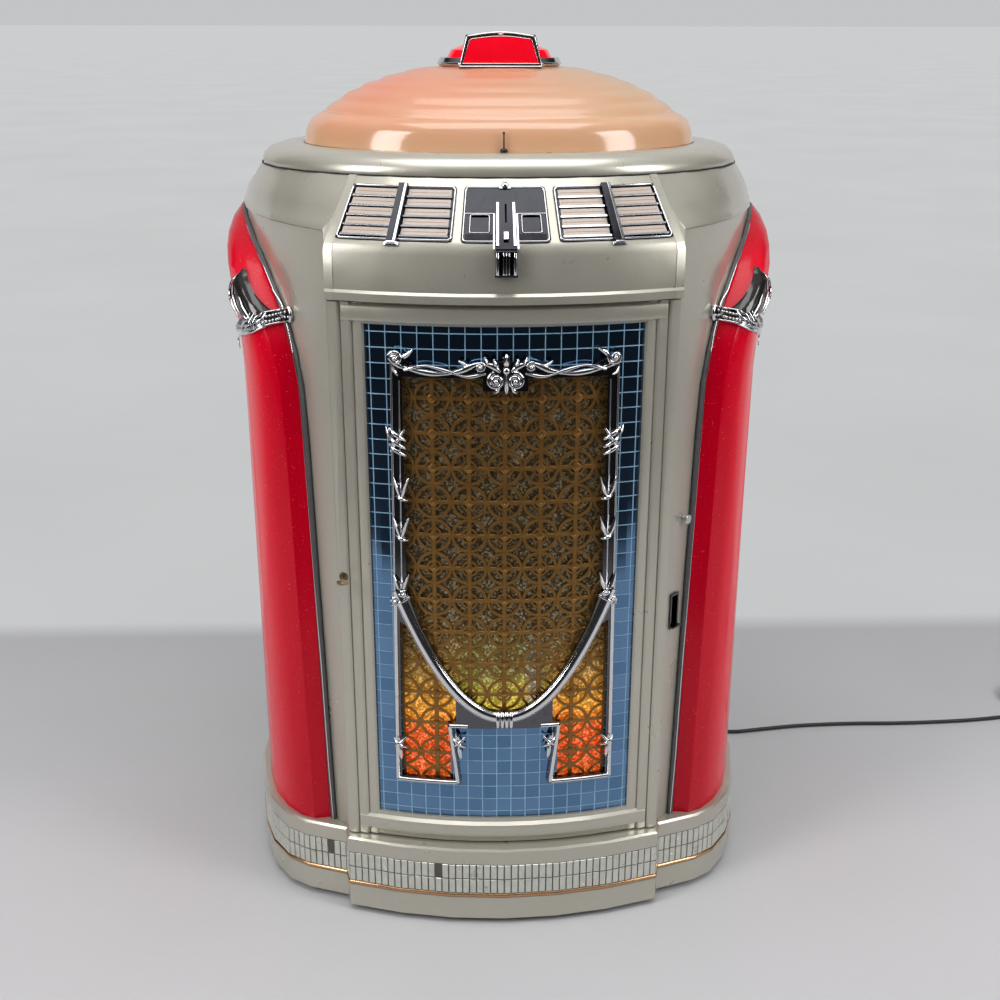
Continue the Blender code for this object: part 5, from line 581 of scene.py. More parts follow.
world = bpy.data.worlds.new("studio")
scene.world = world
world.use_nodes = True
tree = world.node_tree
back = tree.nodes["Background"]
coords = tree.nodes.new("ShaderNodeTexCoord")
split = tree.nodes.new("ShaderNodeSeparateXYZ")
tree.links.new(coords.outputs["Generated"], split.inputs[0])


def world_node(kind, feeds=(), **values):
    item = tree.nodes.new(kind)
    for key, value in values.items():
        setattr(item, key, value)
    for index, value in feeds:
        if isinstance(value, bpy.types.NodeSocket):
            tree.links.new(value, item.inputs[index])
        else:
            item.inputs[index].default_value = value
    return item


PALE, ROOM_DARK, PALE_SEEN = (0.66, 0.67, 0.68, 1), (0.030, 0.030, 0.032, 1), (0.735, 0.74, 0.75, 1)
upward = world_node("ShaderNodeMapRange", ((0, split.outputs[2]), (1, 0.48), (2, 0.80)))
light_sky = world_node("ShaderNodeMix", ((0, upward.outputs[0]), (6, ROOM_DARK), (7, PALE)),
                       data_type="RGBA")
behind = world_node("ShaderNodeMapRange", ((0, split.outputs[1]), (1, 0.62), (2, 0.72)))
lit_sky = world_node("ShaderNodeMix", ((0, behind.outputs[0]), (6, light_sky.outputs[2]), (7, PALE)),
                     data_type="RGBA")
path = world_node("ShaderNodeLightPath")
aside = world_node("ShaderNodeMapRange", ((0, split.outputs[1]), (1, 0.50), (2, 0.62)))
shiny = world_node("ShaderNodeMath", ((0, path.outputs["Is Glossy Ray"]),
                                      (1, path.outputs["Is Transmission Ray"])),
                   operation="MAXIMUM")
shiny = world_node("ShaderNodeMath", ((0, shiny.outputs[0]), (1, aside.outputs[0])), operation="MULTIPLY")
seen = world_node("ShaderNodeMath", ((0, path.outputs["Is Camera Ray"]), (1, shiny.outputs[0])),
                  operation="MAXIMUM")
sky = world_node("ShaderNodeMix", ((0, seen.outputs[0]), (6, lit_sky.outputs[2]), (7, PALE_SEEN)),
                 data_type="RGBA")
tree.links.new(sky.outputs[2], back.inputs[0])
back.inputs[1].default_value = 0.75


def lamp(name, place, target, size, power, colour=(1, 1, 1), size_y=None):
    light = bpy.data.lights.new(name, "AREA")
    light.energy = power
    light.color = colour
    light.shape = "RECTANGLE"
    light.size = size
    light.size_y = size_y or size
    item = bpy.data.objects.new(name, light)
    scene.collection.objects.link(item)
    item.location = place
    item.rotation_euler = (Vector(target) - Vector(place)).to_track_quat("-Z", "Y").to_euler()
    return item


lamp("softbox_left", (-2.3, -1.7, 2.1), (0, 0, 0.75), 0.9, 46, (1.0, 0.99, 0.98), 1.8)
lamp("softbox_right", (2.4, -1.5, 2.0), (0, 0, 0.75), 0.9, 40, (1.0, 1.0, 1.0), 1.8)
lamp("top_light", (0.0, -0.6, 3.4), (0, 0.1, 0.6), 2.4, 42, (1.0, 1.0, 1.0), 1.6)


# Mains cord
CORD_ROUTE = (
    (0.1900, 0.3203, 0.2450),
    (0.1900, 0.3340, 0.2450),
    (0.1915, 0.3620, 0.2400),
    (0.1950, 0.3800, 0.2220),
    (0.2020, 0.3920, 0.1800),
    (0.2130, 0.3990, 0.1200),
    (0.2260, 0.4040, 0.0650),
    (0.2480, 0.4080, 0.0260),
    (0.2800, 0.4110, 0.0075),
    (0.3200, 0.4080, 0.0044),
    (0.3700, 0.3920, 0.0044),
    (0.4200, 0.3640, 0.0044),
    (0.4700, 0.3350, 0.0044),
    (0.5237, 0.3215, 0.0044),
    (0.5859, 0.3300, 0.0044),
    (0.6785, 0.3440, 0.0044),
    (0.7900, 0.3500, 0.0044),
    (0.9040, 0.3490, 0.0044),
    (1.0190, 0.3540, 0.0044),
    (1.1100, 0.3640, 0.0044),
    (1.1850, 0.3790, 0.0044),
    (1.2500, 0.4010, 0.0044),
)
CORD_D, BOOT_LENGTH = 0.008, 0.032


def coil_points(per_turn):
    end = Vector(CORD_ROUTE[-1])
    heading = end - Vector(CORD_ROUTE[-2])
    heading.z = 0
    heading.normalize()
    turns, pitch, lift = 6, 0.0090, 0.0088
    outer = 0.0455 + pitch * turns / 4
    aside = Vector((-heading.y, heading.x, 0))
    first = end + heading * CORD_D
    centre = first + aside * outer
    start = math.atan2(first.y - centre.y, first.x - centre.x)
    half = turns // 2
    points = [end]
    for step in range(turns * per_turn + 1):
        turn = step / per_turn
        inward = turn if turn <= half else turns - turn
        radius = outer - pitch * inward
        climb = min(max(2 * (turn - half) + 0.5, 0), 1)
        angle = start + 2 * math.pi * turn
        points.append(Vector((radius * math.cos(angle), radius * math.sin(angle), lift * climb))
                      + Vector((centre.x, centre.y, end.z)))
    flat = (points[-1] - points[-2]).normalized()
    flat = Vector((flat.x, flat.y, 0)).normalized()
    tail_turn, tail_radius, tail_count = math.radians(70), 0.040, 9
    begin = points[-1].copy()
    drop = begin.z - 0.009 - 0.0003
    turn = Matrix.Rotation(-tail_turn / tail_count, 3, "Z")
    place = begin
    for step in range(tail_count):
        flat = turn @ flat
        place = place + flat * (tail_radius * tail_turn / tail_count)
        share = (step + 1) / tail_count
        lowered = Vector(place)
        lowered.z = begin.z - drop * share * share * (3 - 2 * share)
        points.append(lowered)
    points.append(points[-1] + flat * CORD_D)
    return points


route = curve_through(CORD_ROUTE, 4)
line = route[:-1] + coil_points(36)
curve = bpy.data.curves.new("mains_cord", "CURVE")
curve.dimensions = "3D"
curve.bevel_depth = CORD_D / 2
curve.bevel_resolution = 4
curve.use_fill_caps = True
spline = curve.splines.new("POLY")
spline.points.add(len(line) - 1)
for point, place in zip(spline.points, line):
    point.co = (*place, 1)
curve.materials.append(LOOKS["rubber"])
cord = bpy.data.objects.new("mains_cord", curve)
scene.collection.objects.link(cord)
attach(cord, "cabinet")
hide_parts("power_cord", "cord_coil")
bag = Bag()
boot = [Vector(CORD_ROUTE[0]) - Vector((0, 0.0008, 0))]
for place in route[1:]:
    if (place - boot[0]).length < BOOT_LENGTH:
        boot.append(place)
boot = spaced(boot, 24)
bag.tube(boot, [0.0078 - 0.0042 * k / 24 + (0.0005 if k % 3 else -0.0003) for k in range(25)], up=UP,
         sides=20)
bag.done("cord_boot", "rubber", "cabinet")


# The solids that keep their shape
NODES = frame["nodes"]


def refined(node, look, bevel):
    """A finer copy of a node's solid, with rounded edges; it stands in the node's place."""
    source = NODES[node]
    mesh = data([v.co for v in source.data.vertices], [tuple(p.vertices) for p in source.data.polygons],
                node)
    bm = bmesh.new()
    bm.from_mesh(mesh)
    bmesh.ops.remove_doubles(bm, verts=bm.verts, dist=0.000003)
    bmesh.ops.dissolve_limit(bm, angle_limit=math.radians(0.7), verts=bm.verts, edges=bm.edges)
    flat = [f for f in bm.faces if len(f.verts) == 3]
    bmesh.ops.join_triangles(bm, faces=flat, angle_face_threshold=math.radians(30),
                             angle_shape_threshold=math.radians(50))
    bm.to_mesh(mesh)
    bm.free()
    piece = link("fine_" + node, mesh, look, source["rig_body"], (node,), 42)
    soft = piece.modifiers.new("edges", "BEVEL")
    soft.width = bevel
    soft.segments = 2
    soft.limit_method = "ANGLE"
    soft.angle_limit = math.radians(32)
    soft.harden_normals = True


def dress(node, look):
    """A node that stays as it is, with a finished material."""
    piece = NODES[node]
    if not piece.material_slots:
        piece.data.materials.append(None)
    for slot in piece.material_slots:
        slot.material = LOOKS[look]


for node, look, bevel in (
    ("base_skirt", "champagne", 0.0015),
    ("cabinet_shell", "champagne", 0.0010),
    ("top_deck", "champagne", 0.0012),
    ("lid_collar", "champagne", 0.0010),
    ("door_frame", "champagne", 0.0008),
    ("pilaster_left", "red_plastic", 0.0010),
    ("pilaster_right", "red_plastic", 0.0010),
    ("pilaster_trim_left", "grey_trim", 0.0010),
    ("pilaster_trim_right", "grey_trim", 0.0010),
    ("skirt_copper_trim", "copper", 0.0010),
    ("grille_frame", "chrome_painted_dark", 0.0012),
    ("crown_base", "chrome", 0.0008),
    ("crown_lamp", "crown_red", 0.0010),
    ("coin_plate", "black_chrome_and_painted_shadow", 0.0006),
    ("coin_lever", "chrome", 0.0008),
    ("title_panel_left", "black_chrome_and_painted_shadow", 0.0006),
    ("title_panel_right", "black_chrome_and_painted_shadow", 0.0006),
    ("cancel_button", "chrome", 0.0006),
    ("coin_return_cup", "chrome_painted_dark", 0.0005),
    ("door_key", "bronze", 0.0004),
    ("back_panel", "fibreboard", 0.0008),
    ("changer_deck", "steel", 0.0010),
    ("turntable", "dark_enamel", 0.0006),
    ("tonearm", "chrome", 0.0006),
    ("record_magazine", "records", 0.0004),
    ("amplifier", "steel", 0.0010),
    ("speaker", "cone", 0.0010),
):
    refined(node, look, bevel)
for node in NODES:
    if node.startswith("select_bar"):
        # The first five bars take the darker chrome: painted dark reflection
        refined(node, "chrome_painted_dark" if int(node[-2:]) in range(1, 6) else "chrome", 0.0006)
    elif "wheel" in node:
        refined(node, "rubber", 0.0006)
dress("mirror_panel", "blue_tiles")
dress("mains_plug", "rubber")


# Dome
DOME_LINE = [
    (1.0, 0.0), (0.995, 0.06), (0.990, 0.13), (0.983, 0.195), (0.972, 0.26), (0.957, 0.315),
    (0.936, 0.355), (0.912, 0.385), (0.895, 0.405), (0.880, 0.445), (0.862, 0.490), (0.842, 0.525),
    (0.822, 0.548), (0.806, 0.572), (0.790, 0.615), (0.768, 0.655), (0.745, 0.680), (0.722, 0.700),
    (0.704, 0.724), (0.686, 0.760), (0.660, 0.788), (0.632, 0.804), (0.606, 0.824), (0.588, 0.852),
    (0.560, 0.878), (0.525, 0.896), (0.492, 0.914), (0.468, 0.938), (0.436, 0.958), (0.400, 0.974),
    (0.350, 0.988), (0.290, 0.997), (0.10, 0.999),
]
bag = Bag()
outer = [(DOME_HW * r, DOME_FOOT + DOME_HEIGHT * h) for r, h in DOME_LINE]
DOME_WALL = 0.0038
inner = ([(r - DOME_WALL, h - DOME_WALL) for r, h in reversed(outer[1:-1:2])]
         + [(outer[0][0] - DOME_WALL, DOME_FOOT)])
turns = [2 * math.pi * k / 120 for k in range(120)]
rings = [[Vector((r * math.cos(a), LID_Y + DOME_DEPTH * r * math.sin(a), h)) for a in turns]
         for r, h in outer + inner]
bag.rings(rings, closed_rows=True, caps=False)
bag.done("dome_shell", "dome_plastic", "lid", ("dome",), 50)

bag = Bag()
stem = [Vector((0.0002, LID_Y - DOME_DEPTH * 0.3215 - 0.004, 1.2925)),
        Vector((0.0002, LID_Y - DOME_DEPTH * 0.319 - 0.001, 1.318))]
bag.ball(stem[0], (0.0062, 0.0062, 0.0040), 16)
bag.tube([stem[0], stem[1]], [0.0014, 0.0011], sides=10)
bag.ball(stem[1], (0.0021, 0.0021, 0.0021), 12)
bag.done("dome_latch", "black_chrome_and_painted_shadow", "lid")


# Mirror band tiles
def tree_of(*names):
    verts, faces = [], []
    for name in names:
        mesh = NODES[name].data
        shift = len(verts)
        verts += [v.co.copy() for v in mesh.vertices]
        faces += [tuple(i + shift for i in p.vertices) for p in mesh.polygons]
    return BVHTree.FromPolygons(verts, faces)


band_tree = tree_of("skirt_mirror_band")
low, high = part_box("skirt_mirror_band")
middle = Vector((0, 0.05, (low.z + high.z) / 2))
walk = []
for k in range(1561):
    a = math.radians(-117 + 234 * k / 1560)
    aim = Vector((math.sin(a), -math.cos(a), 0))
    found = band_tree.ray_cast(middle + aim * 2, -aim)
    if found[0] is not None and found[0].y < high.y - 0.002:
        walk.append(found[0])
parts, now = [], [walk[0]]
for i in range(1, len(walk) - 1):
    now.append(walk[i])
    before, after = walk[i] - walk[i - 1], walk[i + 1] - walk[i]
    turned = before.length > 1e-6 and after.length > 1e-6 and before.angle(after) > math.radians(24)
    if turned and (walk[i] - now[0]).length > 0.004:
        parts.append(now)
        now = [walk[i]]
parts.append(now + [walk[-1]])
TILE_W, TILE_H = 0.0118, (high.z - low.z) / 2
tiles_bag = Bag()
number = 0
for part in parts:
    length = sum((b - a).length for a, b in zip(part, part[1:]))
    stops = spaced(part, max(1, round(length / TILE_W)))
    for a, b in zip(stops, stops[1:]):
        run = b - a
        out = Vector((run.y, -run.x, 0)).normalized()
        number += 1
        for row in range(2):
            chance = math.sin(number * 12.9898 + row * 78.233) * 43758.5453 % 1.0
            if chance > 0.985:
                continue
            p, q = a + run * 0.045, b - run * 0.045
            z0, z1 = low.z + TILE_H * row + 0.0007, low.z + TILE_H * (row + 1) - 0.0007
            inset = run * 0.07
            lean, tip = 0.00045 * (chance - 0.5), 0.0006 * ((chance * 7.3) % 1.0 - 0.5)
            base, top = [], []
            for v, z, e, f in ((p, z0, 1, 1), (q, z0, -1, 1), (q, z1, -1, -1), (p, z1, 1, -1)):
                base.append(Vector((v.x, v.y, z)) - out * 0.0004)
                lift = 0.0011 + lean * e + tip * f
                top.append(Vector((v.x, v.y, z + 0.0008 * f)) + inset * e + out * lift)
            tiles_bag.rings([base, top])
tiles_bag.done("band_tiles", "band_glass", "cabinet", (), 20)
dress("skirt_mirror_band", "grout")

# Lit screen
SCREEN_FRONT, LATTICE_PITCH = 0.0179, 0.056
FIELD_OUT, FIELD_LOW, FIELD_HIGH, CROTCH_HW, CROTCH_Z = 0.1755, 0.2650, 0.9860, 0.0820, 0.3700


def in_field(x, z, margin=0.0):
    if abs(x) > FIELD_OUT - margin or z < FIELD_LOW + margin or z > FIELD_HIGH - margin:
        return False
    return z > CROTCH_Z + margin or abs(x) > CROTCH_HW + margin


def on_screen(x, z, depth):
    return Vector((x, door_y(x, depth), z))


def ribbon(bag, points, width, front, back):
    """A flat strip along points on the door's bow."""
    rings = []
    for i, (x, z) in enumerate(points):
        a, b = points[max(i - 1, 0)], points[min(i + 1, len(points) - 1)]
        along = Vector((b[0] - a[0], b[1] - a[1]))
        along.normalize()
        n = Vector((-along.y, along.x)) * (width / 2)
        slim = n * 0.72
        rings.append([on_screen(x + n.x, z + n.y, back), on_screen(x + slim.x, z + slim.y, front),
                      on_screen(x - slim.x, z - slim.y, front), on_screen(x - n.x, z - n.y, back)])
    bag.rings(rings)


def runs(points):
    """The stretches of a line that lie in the screen's field."""
    found, now = [], []
    for point in points:
        if in_field(*point, 0.0015):
            now.append(point)
        else:
            if len(now) > 1:
                found.append(now)
            now = []
    if len(now) > 1:
        found.append(now)
    return found


bag = Bag()
top_node = 0.8785
for column in range(-3, 4):
    x = column * LATTICE_PITCH
    for run in runs([(x, FIELD_LOW + 0.004 * k) for k in range(182)]):
        ribbon(bag, [run[0], run[-1]], 0.0075, SCREEN_FRONT - 0.0012, SCREEN_FRONT + 0.0008)
for row in range(-2, 12):
    z = top_node - row * LATTICE_PITCH
    for run in runs([(-FIELD_OUT + 0.0045 * k, z) for k in range(79)]):
        ribbon(bag, run, 0.0070, SCREEN_FRONT - 0.0011, SCREEN_FRONT + 0.0008)
for column in range(-3, 4):
    for row in range(-2, 12):
        x0, z0 = column * LATTICE_PITCH, top_node - row * LATTICE_PITCH
        for radius, width, lift in ((0.0262, 0.0052, 0.0009), (0.0118, 0.0034, 0.0013)):
            turns = [math.pi * k / 18 for k in range(37)]
            line = [(x0 + radius * math.cos(a), z0 + radius * math.sin(a)) for a in turns]
            for run in runs(line):
                ribbon(bag, run, width, SCREEN_FRONT - lift, SCREEN_FRONT + 0.0008)
        if in_field(x0, z0, 0.008):
            rings = []
            for r, lift in ((0.0072, -0.0008), (0.0072, 0.0012), (0.0050, 0.0021), (0.0022, 0.0021),
                            (0.0016, 0.0015)):
                corners = [math.pi * (2 * k + 1) / 8 for k in range(8)]
                rings.append([on_screen(x0 + r * math.cos(a), z0 + r * math.sin(a), SCREEN_FRONT - lift)
                              for a in corners])
            bag.rings(rings)
bag.done("screen_lattice", "gold_screen", "door", ("grille_screen",), 30)

bag = Bag()
rows = []
for k in range(121):
    z = FIELD_LOW + (FIELD_HIGH - FIELD_LOW) * k / 120
    crinkle = [0.0008 * math.sin(i * 1.7 + k * 0.9) * math.sin(k * 1.3 - i * 0.6) for i in range(61)]
    rows.append([on_screen(-FIELD_OUT + 2 * FIELD_OUT * i / 60, z, 0.0222 + crinkle[i]) for i in range(61)])
back = [[Vector((p.x, p.y + 0.0015, p.z)) for p in row] for row in rows]
bag.rings(rows, caps=False, closed_ring=False)
bag.rings(back, caps=False, closed_ring=False)
bag.done("lit_foil", "foil", "door")


# Chrome on the grille
VIEW = camera.rotation_euler.to_matrix()


def ray(px, py):
    return VIEW @ Vector(((px - PICTURE / 2) / FOCAL, (PICTURE / 2 - py) / FOCAL, -1))


def at(px, py, lift=0.0095):
    """The place over the mirror panel that the photograph shows at a pixel, moved out onto the grille."""
    direction = ray(px, py)
    y = DOOR_EDGE
    for _ in range(8):
        place = camera.location + direction * ((y - camera.location.y) / direction.y)
        y = door_y(place.x, MIRROR_DEPTH - lift)
    return Vector((place.x, y, place.z))


def flip(point):
    return Vector((-point.x, point.y, point.z))


def bar(bag, points, lift, width, high, sides=10):
    """A rounded moulding that lies on the grille's face, through places given as x and z."""
    rounded(bag, [on_panel(x, z, lift) for x, z in points], width, high, lambda p: door_out(p.x), sides)


def shield(offset):
    """The curved foot of the upper screen, moved out by an offset."""
    half, low, drop, power = 0.171, 0.394, 0.617 - 0.394, 2.05
    points = []
    for k in range(49):
        share = -1.0 + 2.0 * k / 48
        slope = math.copysign(power * drop / half * abs(share) ** (power - 1), share)
        normal = Vector((-slope, 1)).normalized()
        points.append((half * share + normal.x * offset,
                       low + drop * abs(share) ** power + normal.y * offset))
    return points


def side_x(z):
    return 0.181 + (0.1735 - 0.181) * (z - 0.2665) / (0.984 - 0.2665)


TOP = 0.0088
bag = Bag()
bar(bag, shield(0.0), TOP, 0.0165, 0.0062)
bar(bag, shield(0.0075), TOP + 0.0004, 0.0030, 0.0020, 6)
bar(bag, shield(-0.0075), TOP + 0.0004, 0.0030, 0.0020, 6)
for side in (-1, 1):
    uprights = [(side * (side_x(z) - 0.0035), z) for z in [0.60 + 0.40 * k / 20 for k in range(21)]]
    bar(bag, uprights, TOP, 0.0042, 0.0034, 8)
    uprights = [(side * (side_x(z) - 0.0150), z) for z in [0.625 + 0.34 * k / 20 for k in range(21)]]
    bar(bag, uprights, TOP, 0.0026, 0.0022, 8)
    leg = [(side * (side_x(z) - 0.0045), z) for z in [0.60 - 0.329 * k / 12 for k in range(13)]]
    foot = [(side * x, 0.2705) for x in [0.176 - 0.098 * k / 10 for k in range(11)]]
    inner = [(side * (0.0768 + 0.0127 * k / 8), 0.2705 + 0.107 * k / 8) for k in range(9)]
    bridge = [(side * (0.0895 - 0.030 * k / 5), 0.3780) for k in range(6)]
    bar(bag, leg, TOP, 0.0072, 0.0042)
    bar(bag, foot, TOP, 0.0072, 0.0044)
    bar(bag, inner, TOP, 0.0072, 0.0042)
    bar(bag, bridge, TOP, 0.0072, 0.0044)
bag.done("grille_mouldings", "chrome", "door")


def leaf(bag, start, end, width, bend=0.0, high=0.0045):
    """A pointed leaf with a midrib, from its root to its tip."""
    out = door_out((start.x + end.x) / 2)
    along = end - start
    across = along.cross(out).normalized()
    rings = []
    for k in range(13):
        t = k / 12
        wide = width / 2 * math.sin(math.pi * min(t * 0.86 + 0.14, 1.0)) ** 0.8 + 0.0003
        p = start + along * t + across * (bend * math.sin(math.pi * t))
        tall = high * (0.55 + 0.45 * math.sin(math.pi * t))
        section = ((1, -0.002), (0.8, tall * 0.55), (0.25, tall * 0.62), (0, tall),
                   (-0.25, tall * 0.62), (-0.8, tall * 0.55), (-1, -0.002))
        rings.append([p + across * wide * u + out * h for u, h in section])
    bag.rings(rings)


def scroll(bag, centre, radius, turns, thick, start, hand):
    """A volute that tightens towards its eye."""
    out = door_out(centre.x)
    right = UP.cross(out).normalized() * -1
    points, radii = [], []
    steps = int(22 * turns)
    for k in range(steps + 1):
        t = k / steps
        r = radius * (1 - 0.80 * t)
        a = start + hand * 2 * math.pi * turns * t
        points.append(centre + right * (r * math.cos(a)) + UP * (r * math.sin(a))
                      + out * (0.001 + 0.0035 * t))
        radii.append(thick * (1 - 0.35 * t))
    bag.tube(points, radii, up=out, sides=10)
    bag.ball(centre + out * 0.0045, (thick * 1.1,) * 3, 12)


def wrap(bag, start, end, thick):
    """A ribbon strand that crosses over a bar."""
    out = door_out((start.x + end.x) / 2)
    points = []
    for k in range(13):
        t = k / 12
        points.append(start.lerp(end, t) + out * (0.006 * math.sin(math.pi * t) - 0.003))
    bag.tube(points, [thick * (0.75 + 0.35 * math.sin(math.pi * k / 12)) for k in range(13)], up=out,
             sides=10)


# Places in the photograph, in pixels of its left half; a third number is the height off the panel
HEAD_LINE = (389, 357), (400, 366), (418, 371), (440, 374), (460, 371), (478, 364), (492, 366), (500, 372)
SECOND_LINE = (404, 370, 0.012), (424, 366, 0.013), (446, 371, 0.013), (466, 377, 0.012), (486, 374, 0.012)
SCROLLS = (
    ((395, 358, 0.012), 0.0105, 1.5, 0.0034, 0.4, 1),
    ((496, 381, 0.012), 0.0125, 1.7, 0.0036, 1.4, -1),
    ((480, 367, 0.012), 0.0070, 1.3, 0.0026, 2.2, 1),
    ((396, 601, 0.011), 0.0075, 1.3, 0.0028, 0.0, 1),
    ((404, 594, 0.011), 0.0060, 1.2, 0.0024, 2.0, -1),
)
LEAVES = (
    ((400, 358), (413, 349), 0.008, 0.002),
    ((391, 366), (398, 376), 0.008, -0.002),
    ((470, 366), (458, 361), 0.008, 0.001),
    ((488, 366), (484, 357), 0.009, 0.001),
    ((497, 368, 0.012), (493, 359, 0.012), 0.010, 0.001),
    ((500, 386, 0.011), (494, 394, 0.010), 0.009, 0.0),
    ((390, 436), (386, 426), 0.006, 0.0),
)
WRAPS = (
    ((389, 429), (405, 441), 0.0030),
    ((389, 437), (405, 449), 0.0030),
    ((389, 445), (405, 456), 0.0030),
    ((404, 430), (390, 452), 0.0022),
    ((391, 606), (409, 598), 0.0030),
)
LEAF_PAIR_TOPS = 476, 516, 572
LEG_KNOTS = (400, 745), (459, 745)
bag = Bag()
for side in (-1, 1):
    def spot(px, py, lift=0.0100):
        place = at(px, py, lift)
        return place if side < 0 else flip(place)

    hand = 1 if side < 0 else -1
    head = curve_through([spot(*p) for p in HEAD_LINE], 6)
    bag.tube(head, [0.0040 + 0.0012 * math.sin(k * 0.55) for k in range(len(head))], sides=12)
    second = curve_through([spot(*p) for p in SECOND_LINE], 6)
    bag.tube(second, [0.0022 + 0.0008 * math.sin(k * 0.7) for k in range(len(second))], sides=10)
    for centre, radius, turns, thick, start, way in SCROLLS:
        scroll(bag, spot(*centre), radius, turns, thick, start, hand * way)
    for root, tip, width, bend in LEAVES:
        leaf(bag, spot(*root), spot(*tip), width, bend)
    for first, last, thick in WRAPS:
        wrap(bag, spot(*first), spot(*last), thick)
    for top in LEAF_PAIR_TOPS:
        leaf(bag, spot(401, top + 22), spot(393, top), 0.009, 0.0015)
        leaf(bag, spot(401, top + 22), spot(409, top + 2), 0.009, -0.0015)
        wrap(bag, spot(396, top + 20), spot(407, top + 25), 0.0026)
    for px, py in LEG_KNOTS:
        wrap(bag, spot(px - 6, py - 6), spot(px + 6, py + 3), 0.0026)
        wrap(bag, spot(px - 6, py + 2), spot(px + 6, py - 7), 0.0026)
        leaf(bag, spot(px, py + 1), spot(px + 2, py + 14), 0.007)
        leaf(bag, spot(px, py - 1), spot(px - 3, py - 13), 0.007)
for k in range(4):
    foot = on_panel(-0.011 + 0.0073 * k, 0.377, 0.0095)
    head = on_panel(-0.011 + 0.0073 * k, 0.4035, 0.0095)
    proud = [foot.lerp(head, share) + door_out(0) * lift for share, lift in ((0.2, 0.0055), (0.8, 0.0065))]
    bag.tube([foot, *proud, head], 0.0034, sides=10)
leaf(bag, at(506.5, 366, 0.013), at(506.5, 354, 0.013), 0.012)
leaf(bag, at(506.5, 372, 0.014), at(506.5, 394, 0.012), 0.011)
bag.ball(at(506.5, 371, 0.0145), (0.0056, 0.0045, 0.0056), 14)
bag.done("grille_scrollwork", "chrome", "door", (), 60)


# Seam under the lid: a near-black tube along the joint, painted shadow in the gap
SEAM_HW, SEAM_REACH = LID_HW - 0.0004, math.radians(168)
bag = Bag()
turns = [SEAM_REACH * (k / 80 - 1) for k in range(161)]
bag.tube([Vector((SEAM_HW * math.sin(a), LID_Y - SEAM_HW * DOME_DEPTH * math.cos(a), SEAM - 0.0004))
          for a in turns], 0.0013, up=UP, sides=8)
bag.done("lid_seam", "seam_shadow", "cabinet")


# Console
def console_slab(bag, w0, w1, s0, s1, h0, h1, edge=0.0006, columns=4):
    """A slab on the console's slope, from shares of its width and slope, with eased top edges."""
    rings = []
    es = edge / SLOPE
    for k in range(columns + 1):
        w = w0 + (w1 - w0) * k / columns
        rings.append([console(w, s0, h0), console(w, s1, h0), console(w, s1, h1 - edge),
                      console(w, s1 - es, h1),
                      console(w, s0 + es, h1), console(w, s0, h1 - edge)])
    bag.rings(rings)


def console_loop(w0, w1, s0, s1, height, corner=0.006):
    """A closed line with rounded corners on the console's slope."""
    cw, cs = corner / CONSOLE_HW, corner / SLOPE
    w0, w1 = sorted((w0, w1))
    corners = []
    for w, s, first in ((w1 - cw, s1 - cs, 0), (w0 + cw, s1 - cs, 90), (w0 + cw, s0 + cs, 180),
                        (w1 - cw, s0 + cs, 270)):
        turns = [math.radians(first + 9 * k) for k in range(11)]
        corners.append([(w + cw * math.cos(a), s + cs * math.sin(a)) for a in turns])
    points = []
    for now, following in zip(corners, corners[1:] + corners[:1]):
        (w, s), (next_w, next_s) = now[-1], following[0]
        between = [(w + (next_w - w) * k / 8, s + (next_s - s) * k / 8) for k in range(1, 8)]
        points += [console(w, s, height) for w, s in now + between]
    return points


T_IN, T_OUT, T_LOW, T_HIGH, RIDGE = 0.300, 0.946, 0.135, 0.865, 0.625
rim_s, rim_w, ridge_w = 0.004 / SLOPE, 0.004 / CONSOLE_HW, 0.0075 / CONSOLE_HW
chrome_bag, shadow_and_rib_bag, strip_bag, rule_bag = Bag(), Bag(), Bag(), Bag()
row_step = (T_HIGH - T_LOW - 2 * rim_s) / 5


def bezel(bag, w0, w1, s0, s1, height, width, high, corner=0.006, facing=0):
    """A rounded bead round a panel of the console; facing is where the slope gives the way out."""
    out = console_out(facing)
    rounded(bag, console_loop(w0, w1, s0, s1, height, corner), width, high, lambda p: out, 6, True)


